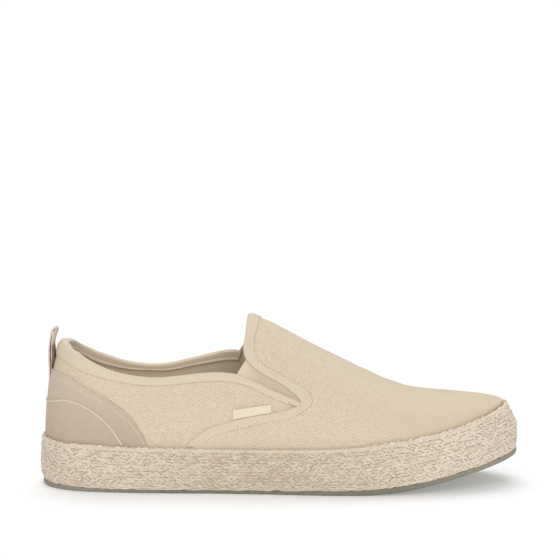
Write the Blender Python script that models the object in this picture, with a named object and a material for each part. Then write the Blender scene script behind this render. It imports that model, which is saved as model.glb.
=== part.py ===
"""Right canvas slip-on shoe on a jute-wrapped sole, modelled for Blender 4.5.

Run it with: blender --background --python part.py

All sizes are in millimetres and become metres only where a mesh is made. In the tables x runs
from the heel's back (0) to the toe tip, y runs from the outer (lateral, negative) side to the
inner (medial, positive) side, and z is the height over the floor. The finished shoe is centred
over the origin and stands on z = 0.

The upper is one function, last_point(angle, rise). The angle goes once round the sole's
outline: 0 at the heel's back, 180 at the toe tip by way of the lateral side, and on to 360 along
the medial side. The rise goes from 0 at the sole's rim to 1 on the ridge over the instep.
"""

import math

import bmesh
import bpy
import numpy as np

MM = 0.001
GAP = 0.3                    # clearance between pieces that touch
MERGE = 0.00001              # points closer than this are one, in metres
HALVINGS = 40                # steps of each search by halving
NEARLY_ONE = 0.9999

# Driving sizes
LENGTH = 295.0               # sole, heel back to toe tip
OUTSOLE_THICK = 2.3
WALL = 2.0                   # canvas and lining of the upper
OVERLAY = 0.9                # one more layer of cloth or suede
INSOLE_THICK = 3.0
ROPE_ROWS = 7                # braided rows round the sole's side
ROPE_RELIEF = 0.7            # depth of the valley between two rows
LIP_DROP = 0.5               # how far both edges of the rim lie under its middle

# Toe spring: flat to SPRING_START, bending over SPRING_BEND, then a straight slope
SPRING_START = 190.0
SPRING_BEND = 60.0
SPRING_SLOPE = 0.235

# Fans of ribs at both ends: the ridge ends where these soft limits hold it
HEEL_FAN = (70.0, 25.0)      # start, reach
TOE_FAN = (190.0, 60.0)

SOLE_STEP = 3.75             # degrees between two points of the sole's outline
BEVEL = 0.6                  # on the outsole's lower edge
LOWER_SHARE = 0.3            # of the rope wall's height that leans in towards the outsole
LEAN_START = 0.4             # share of that height where the lean over the toe starts
INSOLE_ROUND = 0.8           # rounding of the insole's upper edge
INSOLE_SLACK = 0.6           # between the insole and the upper's wall

# The sole's outline: half widths either side of the x axis at each angle round the length
OUTLINE = (
    # angle, lateral, medial
    (0, 0.0, 0.0),
    (15, 19.0, 19.0),
    (30, 32.5, 32.3),
    (45, 38.8, 37.2),
    (60, 41.5, 36.6),
    (75, 42.8, 36.0),
    (90, 46.6, 40.6),
    (105, 50.5, 48.6),
    (120, 48.3, 52.5),
    (135, 39.6, 50.4),
    (150, 27.0, 42.6),
    (165, 10.2, 27.4),
    (180, -8.6, 8.6),
)

# Heights and widths along the shoe
PROFILE = (
    # x, rim top, ridge height, ridge y, fullness, foot inset, rim lean, hem taper, footbed
    (0, 30.4, 123.0, 0.0, 2.00, 3.9, 0.9, 2.0, 16.5),
    (25, 28.9, 122.5, 0.0, 1.90, 3.9, 1.0, 1.8, 16.4),
    (60, 28.3, 121.0, 0.3, 1.62, 3.9, 1.0, 1.5, 16.0),
    (95, 27.9, 117.0, 1.2, 1.66, 3.9, 1.0, 1.5, 15.2),
    (115, 27.9, 111.8, 2.0, 1.95, 3.9, 1.0, 1.5, 14.6),
    (129, 28.0, 105.3, 2.7, 2.15, 3.9, 1.0, 1.5, 14.2),
    (147, 28.2, 96.4, 3.7, 2.20, 3.9, 1.0, 1.5, 13.7),
    (170, 28.9, 83.8, 5.2, 2.25, 3.9, 1.0, 1.5, 13.1),
    (192, 30.3, 72.9, 6.7, 2.30, 3.9, 1.0, 1.5, 12.7),
    (215, 33.0, 61.8, 7.8, 2.36, 4.0, 1.1, 1.4, 12.5),
    (230, 35.1, 56.9, 8.4, 2.42, 4.3, 1.4, 1.3, 12.5),
    (248, 38.2, 54.6, 8.8, 2.50, 5.0, 2.0, 1.2, 12.5),
    (265, 42.1, 53.4, 9.0, 2.55, 6.2, 3.0, 1.0, 12.5),
    (280, 46.2, 52.7, 9.0, 2.60, 7.8, 4.0, 0.9, 12.5),
    (295, 49.4, 52.4, 9.0, 2.60, 9.6, 4.6, 0.8, 12.5),
)

# Free edge of the quarters, seen from the side: round the collar to the quarter's corner
TOPLINE = (
    # x, lateral z, medial z
    (5, 88.7, 88.7),
    (13, 88.7, 88.7),
    (16.5, 88.5, 87.4),
    (20.5, 87.2, 84.8),
    (23.4, 84.2, 82.6),
    (27.9, 81.0, 79.9),
    (33.3, 78.2, 77.2),
    (39.5, 75.6, 74.8),
    (51, 71.2, 71.1),
    (63.4, 69.0, 69.2),
    (75.8, 68.8, 69.3),
    (90.4, 70.2, 72.4),
    (105.9, 71.8, 76.1),
    (114, 71.9, 77.7),
    (121.3, 71.0, 77.3),
)
# and on from the corner, under the elastic gore, to the gore's tip
GORE_LOW_EDGE = (
    # x, lateral z, medial z
    (121.3, 71.0, 77.3),
    (123.6, 67.6, 73.6),
    (129.6, 66.3, 71.1),
    (135.7, 64.9, 68.6),
    (143.6, 61.1, 63.9),
    (154.4, 56.6, 57.9),
    (160.4, 55.4, 56.0),
)
# Lower edge of the collar binding, heel to gore tip
BINDING_LOW = (
    # x, lateral z, medial z
    (5, 81.6, 81.6),
    (12.4, 80.6, 80.2),
    (17.2, 78.2, 77.4),
    (23, 74.9, 73.8),
    (29.3, 72.4, 71.2),
    (38.6, 69.4, 68.0),
    (50.9, 66.3, 65.4),
    (63.7, 64.1, 63.6),
    (75.8, 63.8, 63.6),
    (87.3, 64.8, 65.6),
    (99.4, 66.0, 68.4),
    (112.1, 66.3, 70.7),
    (122.0, 64.6, 69.8),
    (132.7, 61.0, 65.0),
    (143.6, 57.1, 59.6),
    (151.4, 54.4, 55.9),
    (157.4, 54.3, 55.0),
)
BINDING_IN = 4.5             # its turn-in on the inside

# Hem of the vamp: its free edge and its stitched front edge, from the ridge over the instep
# down the throat, along the gore, round the gore's tip and back down to the sole's rim
HEM = (
    # edge x, edge z, front x, front z, medial lift
    (129.2, 105.0, 135.6, 102.4, 0.0),
    (128.6, 103.4, 135.4, 101.0, 0.1),
    (127.6, 99.6, 134.8, 98.2, 0.5),
    (126.7, 93.9, 133.6, 94.0, 1.5),
    (125.9, 88.5, 132.4, 88.8, 3.0),
    (126.8, 81.6, 134.2, 83.6, 4.6),
    (133.3, 76.5, 138.4, 78.6, 4.0),
    (141.7, 70.2, 146.0, 73.8, 3.0),
    (150.8, 63.4, 155.0, 68.4, 1.9),
    (157.6, 58.6, 162.6, 64.4, 1.2),
    (160.4, 56.3, 167.0, 60.4, 0.8),
    (160.2, 55.1, 167.8, 56.0, 0.6),
    (157.4, 53.3, 163.6, 50.6, 0.5),
    (153.8, 51.3, 156.8, 46.6, 0.4),
    (144.8, 49.5, 146.4, 43.8, 0.2),
    (129.7, 46.6, 130.6, 41.4, 0.0),
    (114.6, 43.5, 117.0, 38.4, 0.0),
    (105.5, 40.5, 109.2, 36.0, 0.0),
    (98.2, 35.1, 102.8, 32.0, 0.0),
    (92.9, 28.9, 98.8, 28.9, 0.0),
)
HEM_CORNER = 5               # rows of the table at the vamp's corner and the gore's tip
HEM_TIP = 10

# Elastic gore between the binding and the vamp's edge
GORE = (
    # low x, low z, high x, high z, medial lift of the low edge, of the high edge
    (123.2, 72.2, 128.3, 79.6, 5.3, 4.3),
    (125.8, 69.6, 131.0, 77.5, 5.1, 4.0),
    (130.4, 68.3, 135.8, 73.9, 4.4, 3.6),
    (136.6, 66.8, 141.8, 69.3, 3.6, 2.8),
    (143.0, 63.8, 147.0, 65.4, 2.7, 2.1),
    (149.0, 61.0, 151.4, 62.1, 1.9, 1.6),
    (153.4, 58.9, 154.8, 59.7, 1.5, 1.4),
)
GORE_THICK = 1.2
GORE_DEPTH = 0.5             # how far it lies under the upper's outer face

# Heel counter: its upper front edge, and the raised cord on it, seen from the side
COUNTER_EDGE = (
    # x, z
    (4.0, 71.3),
    (8.8, 71.2),
    (15.8, 70.2),
    (23.0, 67.6),
    (26.8, 65.0),
    (36.2, 60.6),
    (46.0, 54.9),
    (56.7, 46.7),
    (61.8, 40.1),
    (66.1, 32.4),
    (67.0, 30.6),
)
COUNTER_CORD = (
    # x, z
    (3.0, 50.9),
    (9.0, 52.6),
    (17.1, 54.6),
    (22.4, 54.0),
    (28.4, 52.0),
    (33.1, 49.4),
    (39.5, 44.8),
    (43.9, 40.5),
    (47.6, 35.9),
    (52.0, 29.0),
)
CORD_HALF = 1.2              # half the width of the raised cord
CORD_HIGH = 0.5
COUNTER_FOOT = 0.6           # clearance of its lower edge over the sole's rim
COUNTER_MERGE = 0.004        # rise between its rows in front of the cord's lower end
CORD_ROW = 3                 # the patch's row that the cord lies on

# Label tab caught in the vamp seam, lateral side
LABEL = (
    # x, bottom z, top z
    (119.3, 45.6, 50.9),
    (127.0, 47.1, 52.0),
    (135.0, 48.6, 53.2),
    (142.6, 50.0, 54.4),
)
LABEL_THICK = 0.8

# Pull loop at the heel's back: a folded webbing seen edge on
LOOP_WIDTH = 11.0
LOOP_THICK = 1.1
LOOP_LINE = (
    # x, z along the middle of the webbing: up the outer strand, over the top, down the inner
    (5.8, 72.8),
    (5.9, 77.0),
    (5.9, 83.0),
    (6.1, 88.0),
    (7.0, 92.5),
    (8.9, 95.8),
    (10.3, 96.8),
    (11.1, 95.7),
    (10.3, 92.9),
    (8.9, 89.4),
    (8.1, 86.0),
    (7.9, 82.0),
    (7.7, 77.0),
    (7.4, 72.8),
)


def clear_scene():
    for item in list(bpy.data.objects):
        bpy.data.objects.remove(item, do_unlink=True)


def ring_curve(values):
    """A smooth closed curve through equally spaced values; its argument counts the values."""
    y = np.asarray(values, float)
    count = len(y)
    bend = np.zeros((count, count))
    for i in range(count):
        bend[i, i] = 4.0
        bend[i, (i + 1) % count] = 1.0
        bend[i, (i - 1) % count] = 1.0
    m = np.linalg.solve(bend, 6.0 * (np.roll(y, -1) - 2.0 * y + np.roll(y, 1)))

    def value(u):
        low = np.floor(u).astype(int)
        t = u - low
        i = low % count
        j = (low + 1) % count
        sag = t * (1.0 - t) / 6.0 * ((2.0 - t) * m[i] + (1.0 + t) * m[j])
        return (1.0 - t) * y[i] + t * y[j] - sag

    return value


def table_curve(rows, column):
    """A smooth open curve (natural cubic) through one column of a table against its first."""
    x = np.array([row[0] for row in rows], float)
    y = np.array([row[column] for row in rows], float)
    h = np.diff(x)
    count = len(x)
    bend = np.eye(count)
    load = np.zeros(count)
    for i in range(1, count - 1):
        bend[i, i - 1:i + 2] = (h[i - 1], 2.0 * (h[i - 1] + h[i]), h[i])
        load[i] = 6.0 * ((y[i + 1] - y[i]) / h[i] - (y[i] - y[i - 1]) / h[i - 1])
    m = np.linalg.solve(bend, load)

    def value(u):
        u = np.clip(u, x[0], x[-1])
        i = np.clip(np.searchsorted(x, u, side="right") - 1, 0, count - 2)
        a = (x[i + 1] - u) / h[i]
        b = (u - x[i]) / h[i]
        curve = ((a ** 3 - a) * m[i] + (b ** 3 - b) * m[i + 1]) * h[i] ** 2 / 6.0
        return a * y[i] + b * y[i + 1] + curve

    return value


outline_y = ring_curve(
    [-row[1] for row in OUTLINE] + [row[2] for row in reversed(OUTLINE[1:-1])])
OUTLINE_STEP = OUTLINE[1][0] - OUTLINE[0][0]

rim_top = table_curve(PROFILE, 1)
ridge_z = table_curve(PROFILE, 2)
ridge_y = table_curve(PROFILE, 3)
fullness = table_curve(PROFILE, 4)
foot_inset = table_curve(PROFILE, 5)
rim_lean = table_curve(PROFILE, 6)
hem_taper = table_curve(PROFILE, 7)
footbed = table_curve(PROFILE, 8)


def ground(x):
    """Height of the outsole's underside: level under heel and ball, then the toe spring."""
    run = np.clip(x - SPRING_START, 0.0, None)
    bend = SPRING_SLOPE * np.minimum(run, SPRING_BEND) ** 2 / (2.0 * SPRING_BEND)
    return bend + SPRING_SLOPE * np.clip(run - SPRING_BEND, 0.0, None)


def along(angle):
    """Place along the shoe's length of an angle round its outline."""
    return LENGTH / 2.0 * (1.0 - np.cos(np.radians(angle)))


def outline(angle, inset=0.0):
    """The sole's outline in plan, moved inwards by the inset. Returns x, y and the way out."""
    angle = np.asarray(angle, float)

    def place(a):
        return along(a), outline_y(a / OUTLINE_STEP)

    near = 0.5               # degrees
    x0, y0 = place(angle - near)
    x1, y1 = place(angle + near)
    size = np.hypot(x1 - x0, y1 - y0)
    out_x = (y1 - y0) / size
    out_y = -(x1 - x0) / size
    x, y = place(angle)
    return x - inset * out_x, y - inset * out_y, out_x, out_y


def ridge_x(x):
    """Where on the ridge the rib from an outline point at x ends."""
    heel, heel_reach = HEEL_FAN
    toe, toe_reach = TOE_FAN
    back = heel - heel_reach * np.tanh((heel - x) / heel_reach)
    front = toe + toe_reach * np.tanh((x - toe) / toe_reach)
    return np.where(x < heel, back, np.where(x > toe, front, x))


def last_place(angle, rise):
    """A point of the upper's outer face."""
    angle, rise = np.broadcast_arrays(np.asarray(angle, float), np.asarray(rise, float))
    x = along(angle)
    foot_x, foot_y, _, _ = outline(angle, foot_inset(x))
    top_x = ridge_x(x)
    top_y = ridge_y(top_x)
    power = 2.0 / fullness(x)
    turn = np.clip(rise, 0.0, 1.0) * math.pi / 2.0
    reach = np.clip(np.cos(turn), 0.0, 1.0) ** power
    lift = np.sin(turn) ** power
    here_x = top_x + (foot_x - top_x) * reach
    here_y = top_y + (foot_y - top_y) * reach
    low = rim_top(x)
    here_z = low + (ridge_z(here_x) - low) * lift
    return np.stack([here_x, here_y, here_z], -1)


def last_frame(angle, rise):
    """Point, the two surface directions and the outward normal."""
    angle, rise = np.broadcast_arrays(np.asarray(angle, float), np.asarray(rise, float))
    d_angle = 0.2
    d_rise = 0.002
    low = np.clip(rise - d_rise, 0.0, 1.0 - 2.0 * d_rise)
    high = low + 2.0 * d_rise
    ahead = last_place(angle + d_angle, rise)
    behind = last_place(angle - d_angle, rise)
    along_way = (ahead - behind) / (2.0 * d_angle)
    up_way = (last_place(angle, high) - last_place(angle, low)) / (2.0 * d_rise)
    normal = np.cross(along_way, up_way)
    point = last_place(angle, rise)
    half_mm = 0.5
    slope = ridge_z(point[..., 0] + half_mm) - ridge_z(point[..., 0] - half_mm)
    crown = np.stack([-slope, np.zeros_like(slope), np.ones_like(slope)], -1)
    on_ridge = (rise > NEARLY_ONE)[..., None]
    normal = np.where(on_ridge, crown, normal)
    normal = normal / np.linalg.norm(normal, axis=-1, keepdims=True)
    return point, along_way, up_way, normal


def last_point(angle, rise, out=0.0):
    """A point that stands out from the upper's outer face by a distance."""
    point, _, _, normal = last_frame(angle, rise)
    return point + normal * np.asarray(out, float)[..., None]


def rise_at(angle, z):
    """The rise at which the rib of an angle reaches a height."""
    low = np.zeros_like(np.asarray(angle, float))
    high = np.ones_like(low)
    for _ in range(HALVINGS):
        middle = (low + high) / 2.0
        below = last_place(angle, middle)[..., 2] < z
        low = np.where(below, middle, low)
        high = np.where(below, high, middle)
    return (low + high) / 2.0


def side_place(side, x, z):
    """Angle and rise of the point that is at x and z as the shoe is seen from one side."""
    x = np.asarray(x, float)
    low = np.zeros_like(x)
    high = np.full_like(x, 180.0)
    for _ in range(HALVINGS):
        middle = (low + high) / 2.0
        angle = middle if side == "lateral" else 360.0 - middle
        behind = last_place(angle, rise_at(angle, z))[..., 0] < x
        low = np.where(behind, middle, low)
        high = np.where(behind, high, middle)
    angle = (low + high) / 2.0
    angle = angle if side == "lateral" else 360.0 - angle
    return angle, rise_at(angle, z)


def edge_rise(angle, edge):
    """The rise at which a rib meets an edge given as height against x."""
    low = np.zeros_like(np.asarray(angle, float))
    high = np.ones_like(low)
    for _ in range(HALVINGS):
        middle = (low + high) / 2.0
        point = last_place(angle, middle)
        below = point[..., 2] < edge(point[..., 0])
        low = np.where(below, middle, low)
        high = np.where(below, high, middle)
    return (low + high) / 2.0


def walk(angle, rise, way, distance):
    """Go a distance over the upper's face, starting in the direction given."""
    steps = 4
    for _ in range(steps):
        _, along_way, up_way, _ = last_frame(angle, rise)
        basis = np.stack([along_way, up_way], -1)
        normal_matrix = np.swapaxes(basis, -1, -2) @ basis
        target = np.swapaxes(basis, -1, -2) @ way[..., None]
        move = np.linalg.solve(normal_matrix, target)[..., 0]
        step = np.asarray(distance, float)[..., None] / steps * move
        angle = angle + step[..., 0]
        rise = np.clip(rise + step[..., 1], 0.0, 1.0)
    return angle, rise


Y_MIDDLE = 0.0               # set below from the outline itself


def to_world(point):
    shift = np.array([LENGTH / 2.0, Y_MIDDLE, 0.0])
    return (np.asarray(point, float) - shift) * MM


def spread(count):
    return np.linspace(0.0, 1.0, count)


def finish_mesh(name, bm, material):
    """Make a Blender object from a bmesh and shade its round faces smooth."""
    mesh = bpy.data.meshes.new(name)
    bm.to_mesh(mesh)
    bm.free()
    mesh.shade_smooth()
    mesh.set_sharp_from_angle(angle=math.radians(40))
    mesh.materials.append(material)
    item = bpy.data.objects.new(name, mesh)
    bpy.context.scene.collection.objects.link(item)
    return item


def thick_skin(name, outer, inner, material, cells=None, closed=False):
    """A solid between two grids of points: rows go up, columns go round."""
    rows, columns = outer.shape[:2]
    bm = bmesh.new()
    inside = bm.verts.layers.float_vector.new("inside")
    outer = to_world(outer)
    inner = to_world(inner)
    grid = []
    for j in range(rows):
        line = []
        for i in range(columns):
            vert = bm.verts.new(outer[j, i])
            vert[inside] = inner[j, i]
            line.append(vert)
        grid.append(line)
    for j in range(rows - 1):
        for i in range(columns if closed else columns - 1):
            if cells is not None and not cells[j][i]:
                continue
            k = (i + 1) % columns
            bm.faces.new((grid[j][i], grid[j][k], grid[j + 1][k], grid[j + 1][i]))
    loose = [vert for vert in bm.verts if not vert.link_faces]
    bmesh.ops.delete(bm, geom=loose, context="VERTS")
    bmesh.ops.remove_doubles(bm, verts=bm.verts[:], dist=MERGE)
    faces = bm.faces[:]
    rims = [(edge.link_loops[0].vert, edge.link_loops[0].link_loop_next.vert)
            for edge in bm.edges if edge.is_boundary]
    twin = {vert: bm.verts.new(vert[inside]) for vert in bm.verts[:]}
    for face in faces:
        bm.faces.new([twin[vert] for vert in reversed(face.verts)])
    for start, end in rims:
        bm.faces.new((end, start, twin[start], twin[end]))
    return finish_mesh(name, bm, material)


def stacked_rings(name, rings, material):
    """A solid from rings round the outline; the first and last ring are filled across."""
    bm = bmesh.new()
    loops = [[bm.verts.new(point) for point in to_world(ring)] for ring in rings]
    count = len(loops[0])
    for lower, upper in zip(loops, loops[1:]):
        for i in range(count):
            k = (i + 1) % count
            bm.faces.new((lower[i], lower[k], upper[k], upper[i]))
    half = count // 2
    for loop, flip in ((loops[0], True), (loops[-1], False)):
        for i in range(half):
            across = (loop[(count - i - 1) % count], loop[(count - i) % count])
            corners = list(dict.fromkeys((loop[i], loop[i + 1], *across)))
            bm.faces.new(corners[::-1] if flip else corners)
    return finish_mesh(name, bm, material)


def tube_strip(name, sections, material):
    """A solid from closed cross-sections in a row, with its two ends filled."""
    bm = bmesh.new()
    loops = [[bm.verts.new(point) for point in to_world(section)] for section in sections]
    count = len(loops[0])
    for first, second in zip(loops, loops[1:]):
        for i in range(count):
            k = (i + 1) % count
            bm.faces.new((first[i], first[k], second[k], second[i]))
    bm.faces.new(loops[0][::-1])
    bm.faces.new(loops[-1])
    bmesh.ops.recalc_face_normals(bm, faces=bm.faces[:])
    return finish_mesh(name, bm, material)


def make_material(name, colour, roughness, metallic=0.0):
    """A plain finish; the colour is given as sRGB hex."""
    parts = [int(colour[i:i + 2], 16) / 255.0 for i in (0, 2, 4)]
    linear = [c / 12.92 if c <= 0.04045 else ((c + 0.055) / 1.055) ** 2.4 for c in parts]
    material = bpy.data.materials.new(name)
    material.use_nodes = True
    shader = material.node_tree.nodes["Principled BSDF"]
    shader.inputs["Base Color"].default_value = (*linear, 1.0)
    shader.inputs["Roughness"].default_value = roughness
    shader.inputs["Metallic"].default_value = metallic
    return material


SOLE_ANGLES = np.arange(0.0, 360.0, SOLE_STEP)


def sole_ring(inset, z):
    """One ring of sole points; inset and z may change along the shoe."""
    x, y, _, _ = outline(SOLE_ANGLES, inset)
    return np.stack([x, y, np.broadcast_to(z, x.shape)], -1)


def make_outsole(material):
    """Thin rubber sole: level under heel and ball, bevelled edge, toe spring."""
    x = along(SOLE_ANGLES)
    taper = hem_taper(x)
    base = ground(x)
    rings = [
        sole_ring(taper + BEVEL, base),
        sole_ring(taper, base + BEVEL),
        sole_ring(taper, base + OUTSOLE_THICK),
    ]
    return stacked_rings("outsole", rings, material)


def rope_inset(x, height):
    """How far the rope wall lies inside the outline at a height from 0, bottom, to 1, top."""
    low = hem_taper(x) * max(1.0 - height / LOWER_SHARE, 0.0) ** 2
    high = rim_lean(x) * max((height - LEAN_START) / (1.0 - LEAN_START), 0.0) ** 2
    return low + high


def make_midsole(material):
    """Jute-wrapped sole: a platform with a raised rim, its side in braided rows."""
    x = along(SOLE_ANGLES)
    base = ground(x) + OUTSOLE_THICK + GAP
    top = rim_top(x)
    rings = []
    points = 2 * ROPE_ROWS
    for k in range(points + 1):
        height = k / points
        valley = ROPE_RELIEF if k % 2 == 0 else 0.0
        inset = rope_inset(x, height) + valley
        rings.append(sole_ring(inset, base + (top - LIP_DROP - base) * height))
    wall_inset = foot_inset(x) - GAP
    rings.append(sole_ring((rope_inset(x, 1.0) + wall_inset) / 2.0, top))
    rings.append(sole_ring(wall_inset, top - LIP_DROP))
    rings.append(sole_ring(wall_inset, ground(x) + footbed(x)))
    return stacked_rings("midsole", rings, material)


def make_insole(material):
    """Insole plate on the sole's platform, inside the upper."""
    x = along(SOLE_ANGLES)
    inset = foot_inset(x) + WALL + INSOLE_SLACK
    low = ground(x) + footbed(x) + GAP
    rings = [
        sole_ring(inset, low),
        sole_ring(inset, low + INSOLE_THICK - INSOLE_ROUND),
        sole_ring(inset + INSOLE_ROUND, low + INSOLE_THICK),
    ]
    return stacked_rings("insole", rings, material)


def edge_curve(rows, side):
    """Height of an edge against x on one side of the shoe."""
    return table_curve(rows, 1 if side == "lateral" else 2)


def mirrored(angle, side):
    return angle if side == "lateral" else 360.0 - angle


def half_angle(x):
    """The outline's angle, 0 to 180, at a place along the length."""
    return np.degrees(np.arccos(1.0 - 2.0 * np.asarray(x, float) / LENGTH))


def table_line(side, rows, first=0, raised=4):
    """Angle and rise of points whose x and z are two columns; a third lifts the medial ones."""
    x = np.array([row[first] for row in rows])
    lift = np.array([row[raised] for row in rows]) if side == "medial" else 0.0
    z = np.array([row[first + 1] for row in rows]) + lift
    return side_place(side, x, z)


LOW_ROWS = 6                 # rows of the upper below the collar or the gore
HIGH_ROWS = 5                # rows of the vamp above the gore
QUARTER_RIBS = 17
FRONT_RIBS = 18
GORE_RIBS = (123.4, 127.2, 131.5, 136.5, 142.0, 147.5, 152.5, 156.8)


def quarter_edge(side):
    """Ribs from the heel's back to near the gore's tip, with the rise of the free edge on each."""
    collar = mirrored(np.linspace(0.0, half_angle(TOPLINE[-1][0]), QUARTER_RIBS), side)
    gore = mirrored(half_angle(GORE_RIBS), side)
    rise = [edge_rise(collar, edge_curve(TOPLINE, side)),
            edge_rise(gore, edge_curve(GORE_LOW_EDGE, side))]
    return np.concatenate([collar, gore]), np.concatenate(rise)


def upper_columns(side):
    """Angle and rise grids of one side of the upper, from the heel's back to the toe tip."""
    throat = HEM[:HEM_CORNER + 1]
    gore_edge = HEM[HEM_CORNER:HEM_TIP + 1]
    vamp_rows = [(row[0], row[1], row[1] + row[4]) for row in gore_edge]
    tip = side_place(side, *[np.array([value]) for value in (
        HEM[HEM_TIP][0], vamp_rows[-1][1 if side == "lateral" else 2])])
    tip_half = float(mirrored(tip[0][0], side))
    behind, behind_rise = quarter_edge(side)
    ahead = mirrored(np.linspace(tip_half, 180.0, FRONT_RIBS), side)
    angles = np.concatenate([behind, ahead])
    first = QUARTER_RIBS + 1
    last = len(behind)
    low_edge = np.concatenate([behind_rise, np.full(FRONT_RIBS, tip[1][0])])
    high_edge = low_edge.copy()
    high_edge[first:last] = edge_rise(angles[first:last], edge_curve(vamp_rows, side))
    low = spread(LOW_ROWS)[:, None] * low_edge[None, :]
    high = high_edge[None, :] + spread(HIGH_ROWS + 1)[:, None] * (1.0 - high_edge[None, :])
    rise = np.concatenate([low, high])
    angle = np.broadcast_to(angles, rise.shape).copy()
    back_angle, back_rise = table_line(side, throat[::-1])
    back_angle[-1] = mirrored(half_angle(HEM[0][0]), side)
    back_rise[-1] = 1.0
    share = spread(HIGH_ROWS + 1) * (len(throat) - 1)
    count = np.arange(len(throat))
    angle[LOW_ROWS:, first] = np.interp(share, count, back_angle)
    rise[LOW_ROWS:, first] = np.interp(share, count, back_rise)
    return angle, rise, first


def make_upper(material):
    """One hollow wall: vamp and quarters, open at collar, gores and underneath."""
    angle_l, rise_l, first = upper_columns("lateral")
    angle_m, rise_m, _ = upper_columns("medial")
    angle = np.concatenate([angle_l, angle_m[:, -2:0:-1]], 1)
    rise = np.concatenate([rise_l, rise_m[:, -2:0:-1]], 1)
    rows, columns = rise.shape
    outer = last_point(angle, rise)
    inner = last_point(angle, rise, np.full(rise.shape, -WALL))
    x = along(angle[0])
    inner[0, :, 2] = outer[0, :, 2]
    skirt_outer = outer[:1].copy()
    skirt_inner = inner[:1].copy()
    skirt_outer[0, :, 2] = skirt_inner[0, :, 2] = ground(x) + footbed(x) + GAP
    outer = np.concatenate([skirt_outer, outer])
    inner = np.concatenate([skirt_inner, inner])
    cells = np.ones((rows, columns), bool)
    cells[LOW_ROWS] = False
    half = angle_l.shape[1] - 1
    for i in range(columns):
        behind = i if i < half else columns - 1 - i
        if behind < first:
            cells[LOW_ROWS:, i] = False
    return thick_skin("upper", outer, inner, material, cells, closed=True)


def overlay_skin(name, angle, rise, material, inner=GAP, outer=GAP + OVERLAY, extra=0.0):
    """A patch that lies on the upper: rows go up, columns go round."""
    top = last_point(angle, rise, np.full(rise.shape, outer) + extra)
    base = last_point(angle, rise, np.full(rise.shape, inner))
    return thick_skin(name, top, base, material)


def counter_grid(side, ribs):
    """Angle, rise and extra height of one half of the heel counter; rows go up."""
    angles = mirrored(ribs, side)
    edge = edge_rise(angles, table_curve(COUNTER_EDGE, 1))
    cord_z = table_curve(COUNTER_CORD, 1)
    low = rise_at(angles, rim_top(along(angles)) + COUNTER_FOOT)
    on = last_place(angles, low)[:, 0] < COUNTER_CORD[-2][0]
    cord = []
    for count, step in enumerate((-CORD_HALF, 0.0, CORD_HALF), 2):
        line = edge_rise(angles, lambda x: cord_z(x) + step)
        cord.append(np.where(on, line, low + count * COUNTER_MERGE))
    rows = [low, (low + cord[0]) / 2.0] + cord
    rows += [cord[-1] + share * (edge - cord[-1]) for share in spread(4)[1:]]
    rise = np.stack(rows)
    extra = np.zeros_like(rise)
    extra[CORD_ROW] = np.where(on, CORD_HIGH, 0.0)
    return np.broadcast_to(angles, rise.shape), rise, extra


def make_counter(material):
    """Heel counter: one patch round the heel with a raised cord across it."""
    front = half_angle(COUNTER_EDGE[-2][0])
    ribs = np.linspace(0.0, half_angle(TOPLINE[-1][0]), QUARTER_RIBS)
    ribs = np.append(ribs[ribs < front], front)
    angle_m, rise_m, extra_m = counter_grid("medial", ribs)
    angle_l, rise_l, extra_l = counter_grid("lateral", ribs)
    back = slice(None, 0, -1)
    angle = np.concatenate([angle_m[:, back] - 360.0, angle_l], 1)
    rise = np.concatenate([rise_m[:, back], rise_l], 1)
    extra = np.concatenate([extra_m[:, back], extra_l], 1)
    return overlay_skin("heel_counter", angle, rise, material, extra=extra)


def make_binding(material):
    """Collar binding: folded over the quarters' free edge from gore tip to gore tip."""
    sections = []
    for side in ("medial", "lateral"):
        angles, top = quarter_edge(side)
        low = edge_rise(angles, edge_curve(BINDING_LOW, side))
        middle = (top + low) / 2.0
        point, _, up_way, normal = last_frame(angles, top)
        up = up_way / np.linalg.norm(up_way, axis=-1, keepdims=True)
        turned_in, in_rise = walk(angles, top, -up, np.full(angles.shape, BINDING_IN))
        far = GAP + OVERLAY
        loop = [
            last_point(angles, low, np.full(angles.shape, far)),
            last_point(angles, middle, np.full(angles.shape, far)),
            point + normal * far,
            point + up * far - normal * WALL / 2.0,
            point - normal * (WALL + far),
            last_point(turned_in, in_rise, np.full(angles.shape, -WALL - far)),
            last_point(turned_in, in_rise, np.full(angles.shape, -WALL - GAP)),
            point - normal * (WALL + GAP) + up * GAP,
            point + normal * GAP + up * GAP,
            last_point(angles, middle, np.full(angles.shape, GAP)),
            last_point(angles, low, np.full(angles.shape, GAP)),
        ]
        side_sections = list(np.stack(loop, 1))
        sections += side_sections[::-1][:-1] if side == "medial" else side_sections
    return tube_strip("collar_binding", sections, material)


def make_hem(material):
    """Folded hem along the vamp's whole back edge, over the ridge from side to side."""
    halves = []
    for side in ("medial", "lateral"):
        edge = np.stack(table_line(side, HEM))
        front = np.stack(table_line(side, HEM, 2))
        edge[:, 0] = mirrored(half_angle(HEM[0][0]), side), 1.0
        front[:, 0] = mirrored(half_angle(HEM[0][2]), side), 1.0
        strip = np.stack([edge + share * (front - edge) for share in spread(3)])
        halves.append(strip[:, :, ::-1][:, :, :-1] if side == "medial" else strip)
    angle, rise = (np.concatenate([half[:, k] for half in halves], 1) for k in (0, 1))
    return overlay_skin("vamp_hem", angle, rise, material)


def make_gore(side, material):
    """Elastic wedge that fills the gap between quarter and vamp."""
    low = np.stack(table_line(side, GORE))
    high = np.stack(table_line(side, GORE, 2, 5))
    grid = np.stack([low + share * (high - low) for share in spread(4)])
    if side == "medial":
        grid = grid[:, :, ::-1]
    return overlay_skin("gore_" + side, grid[:, 0], grid[:, 1], material,
                        inner=-GORE_DEPTH - GORE_THICK, outer=-GORE_DEPTH)


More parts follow.
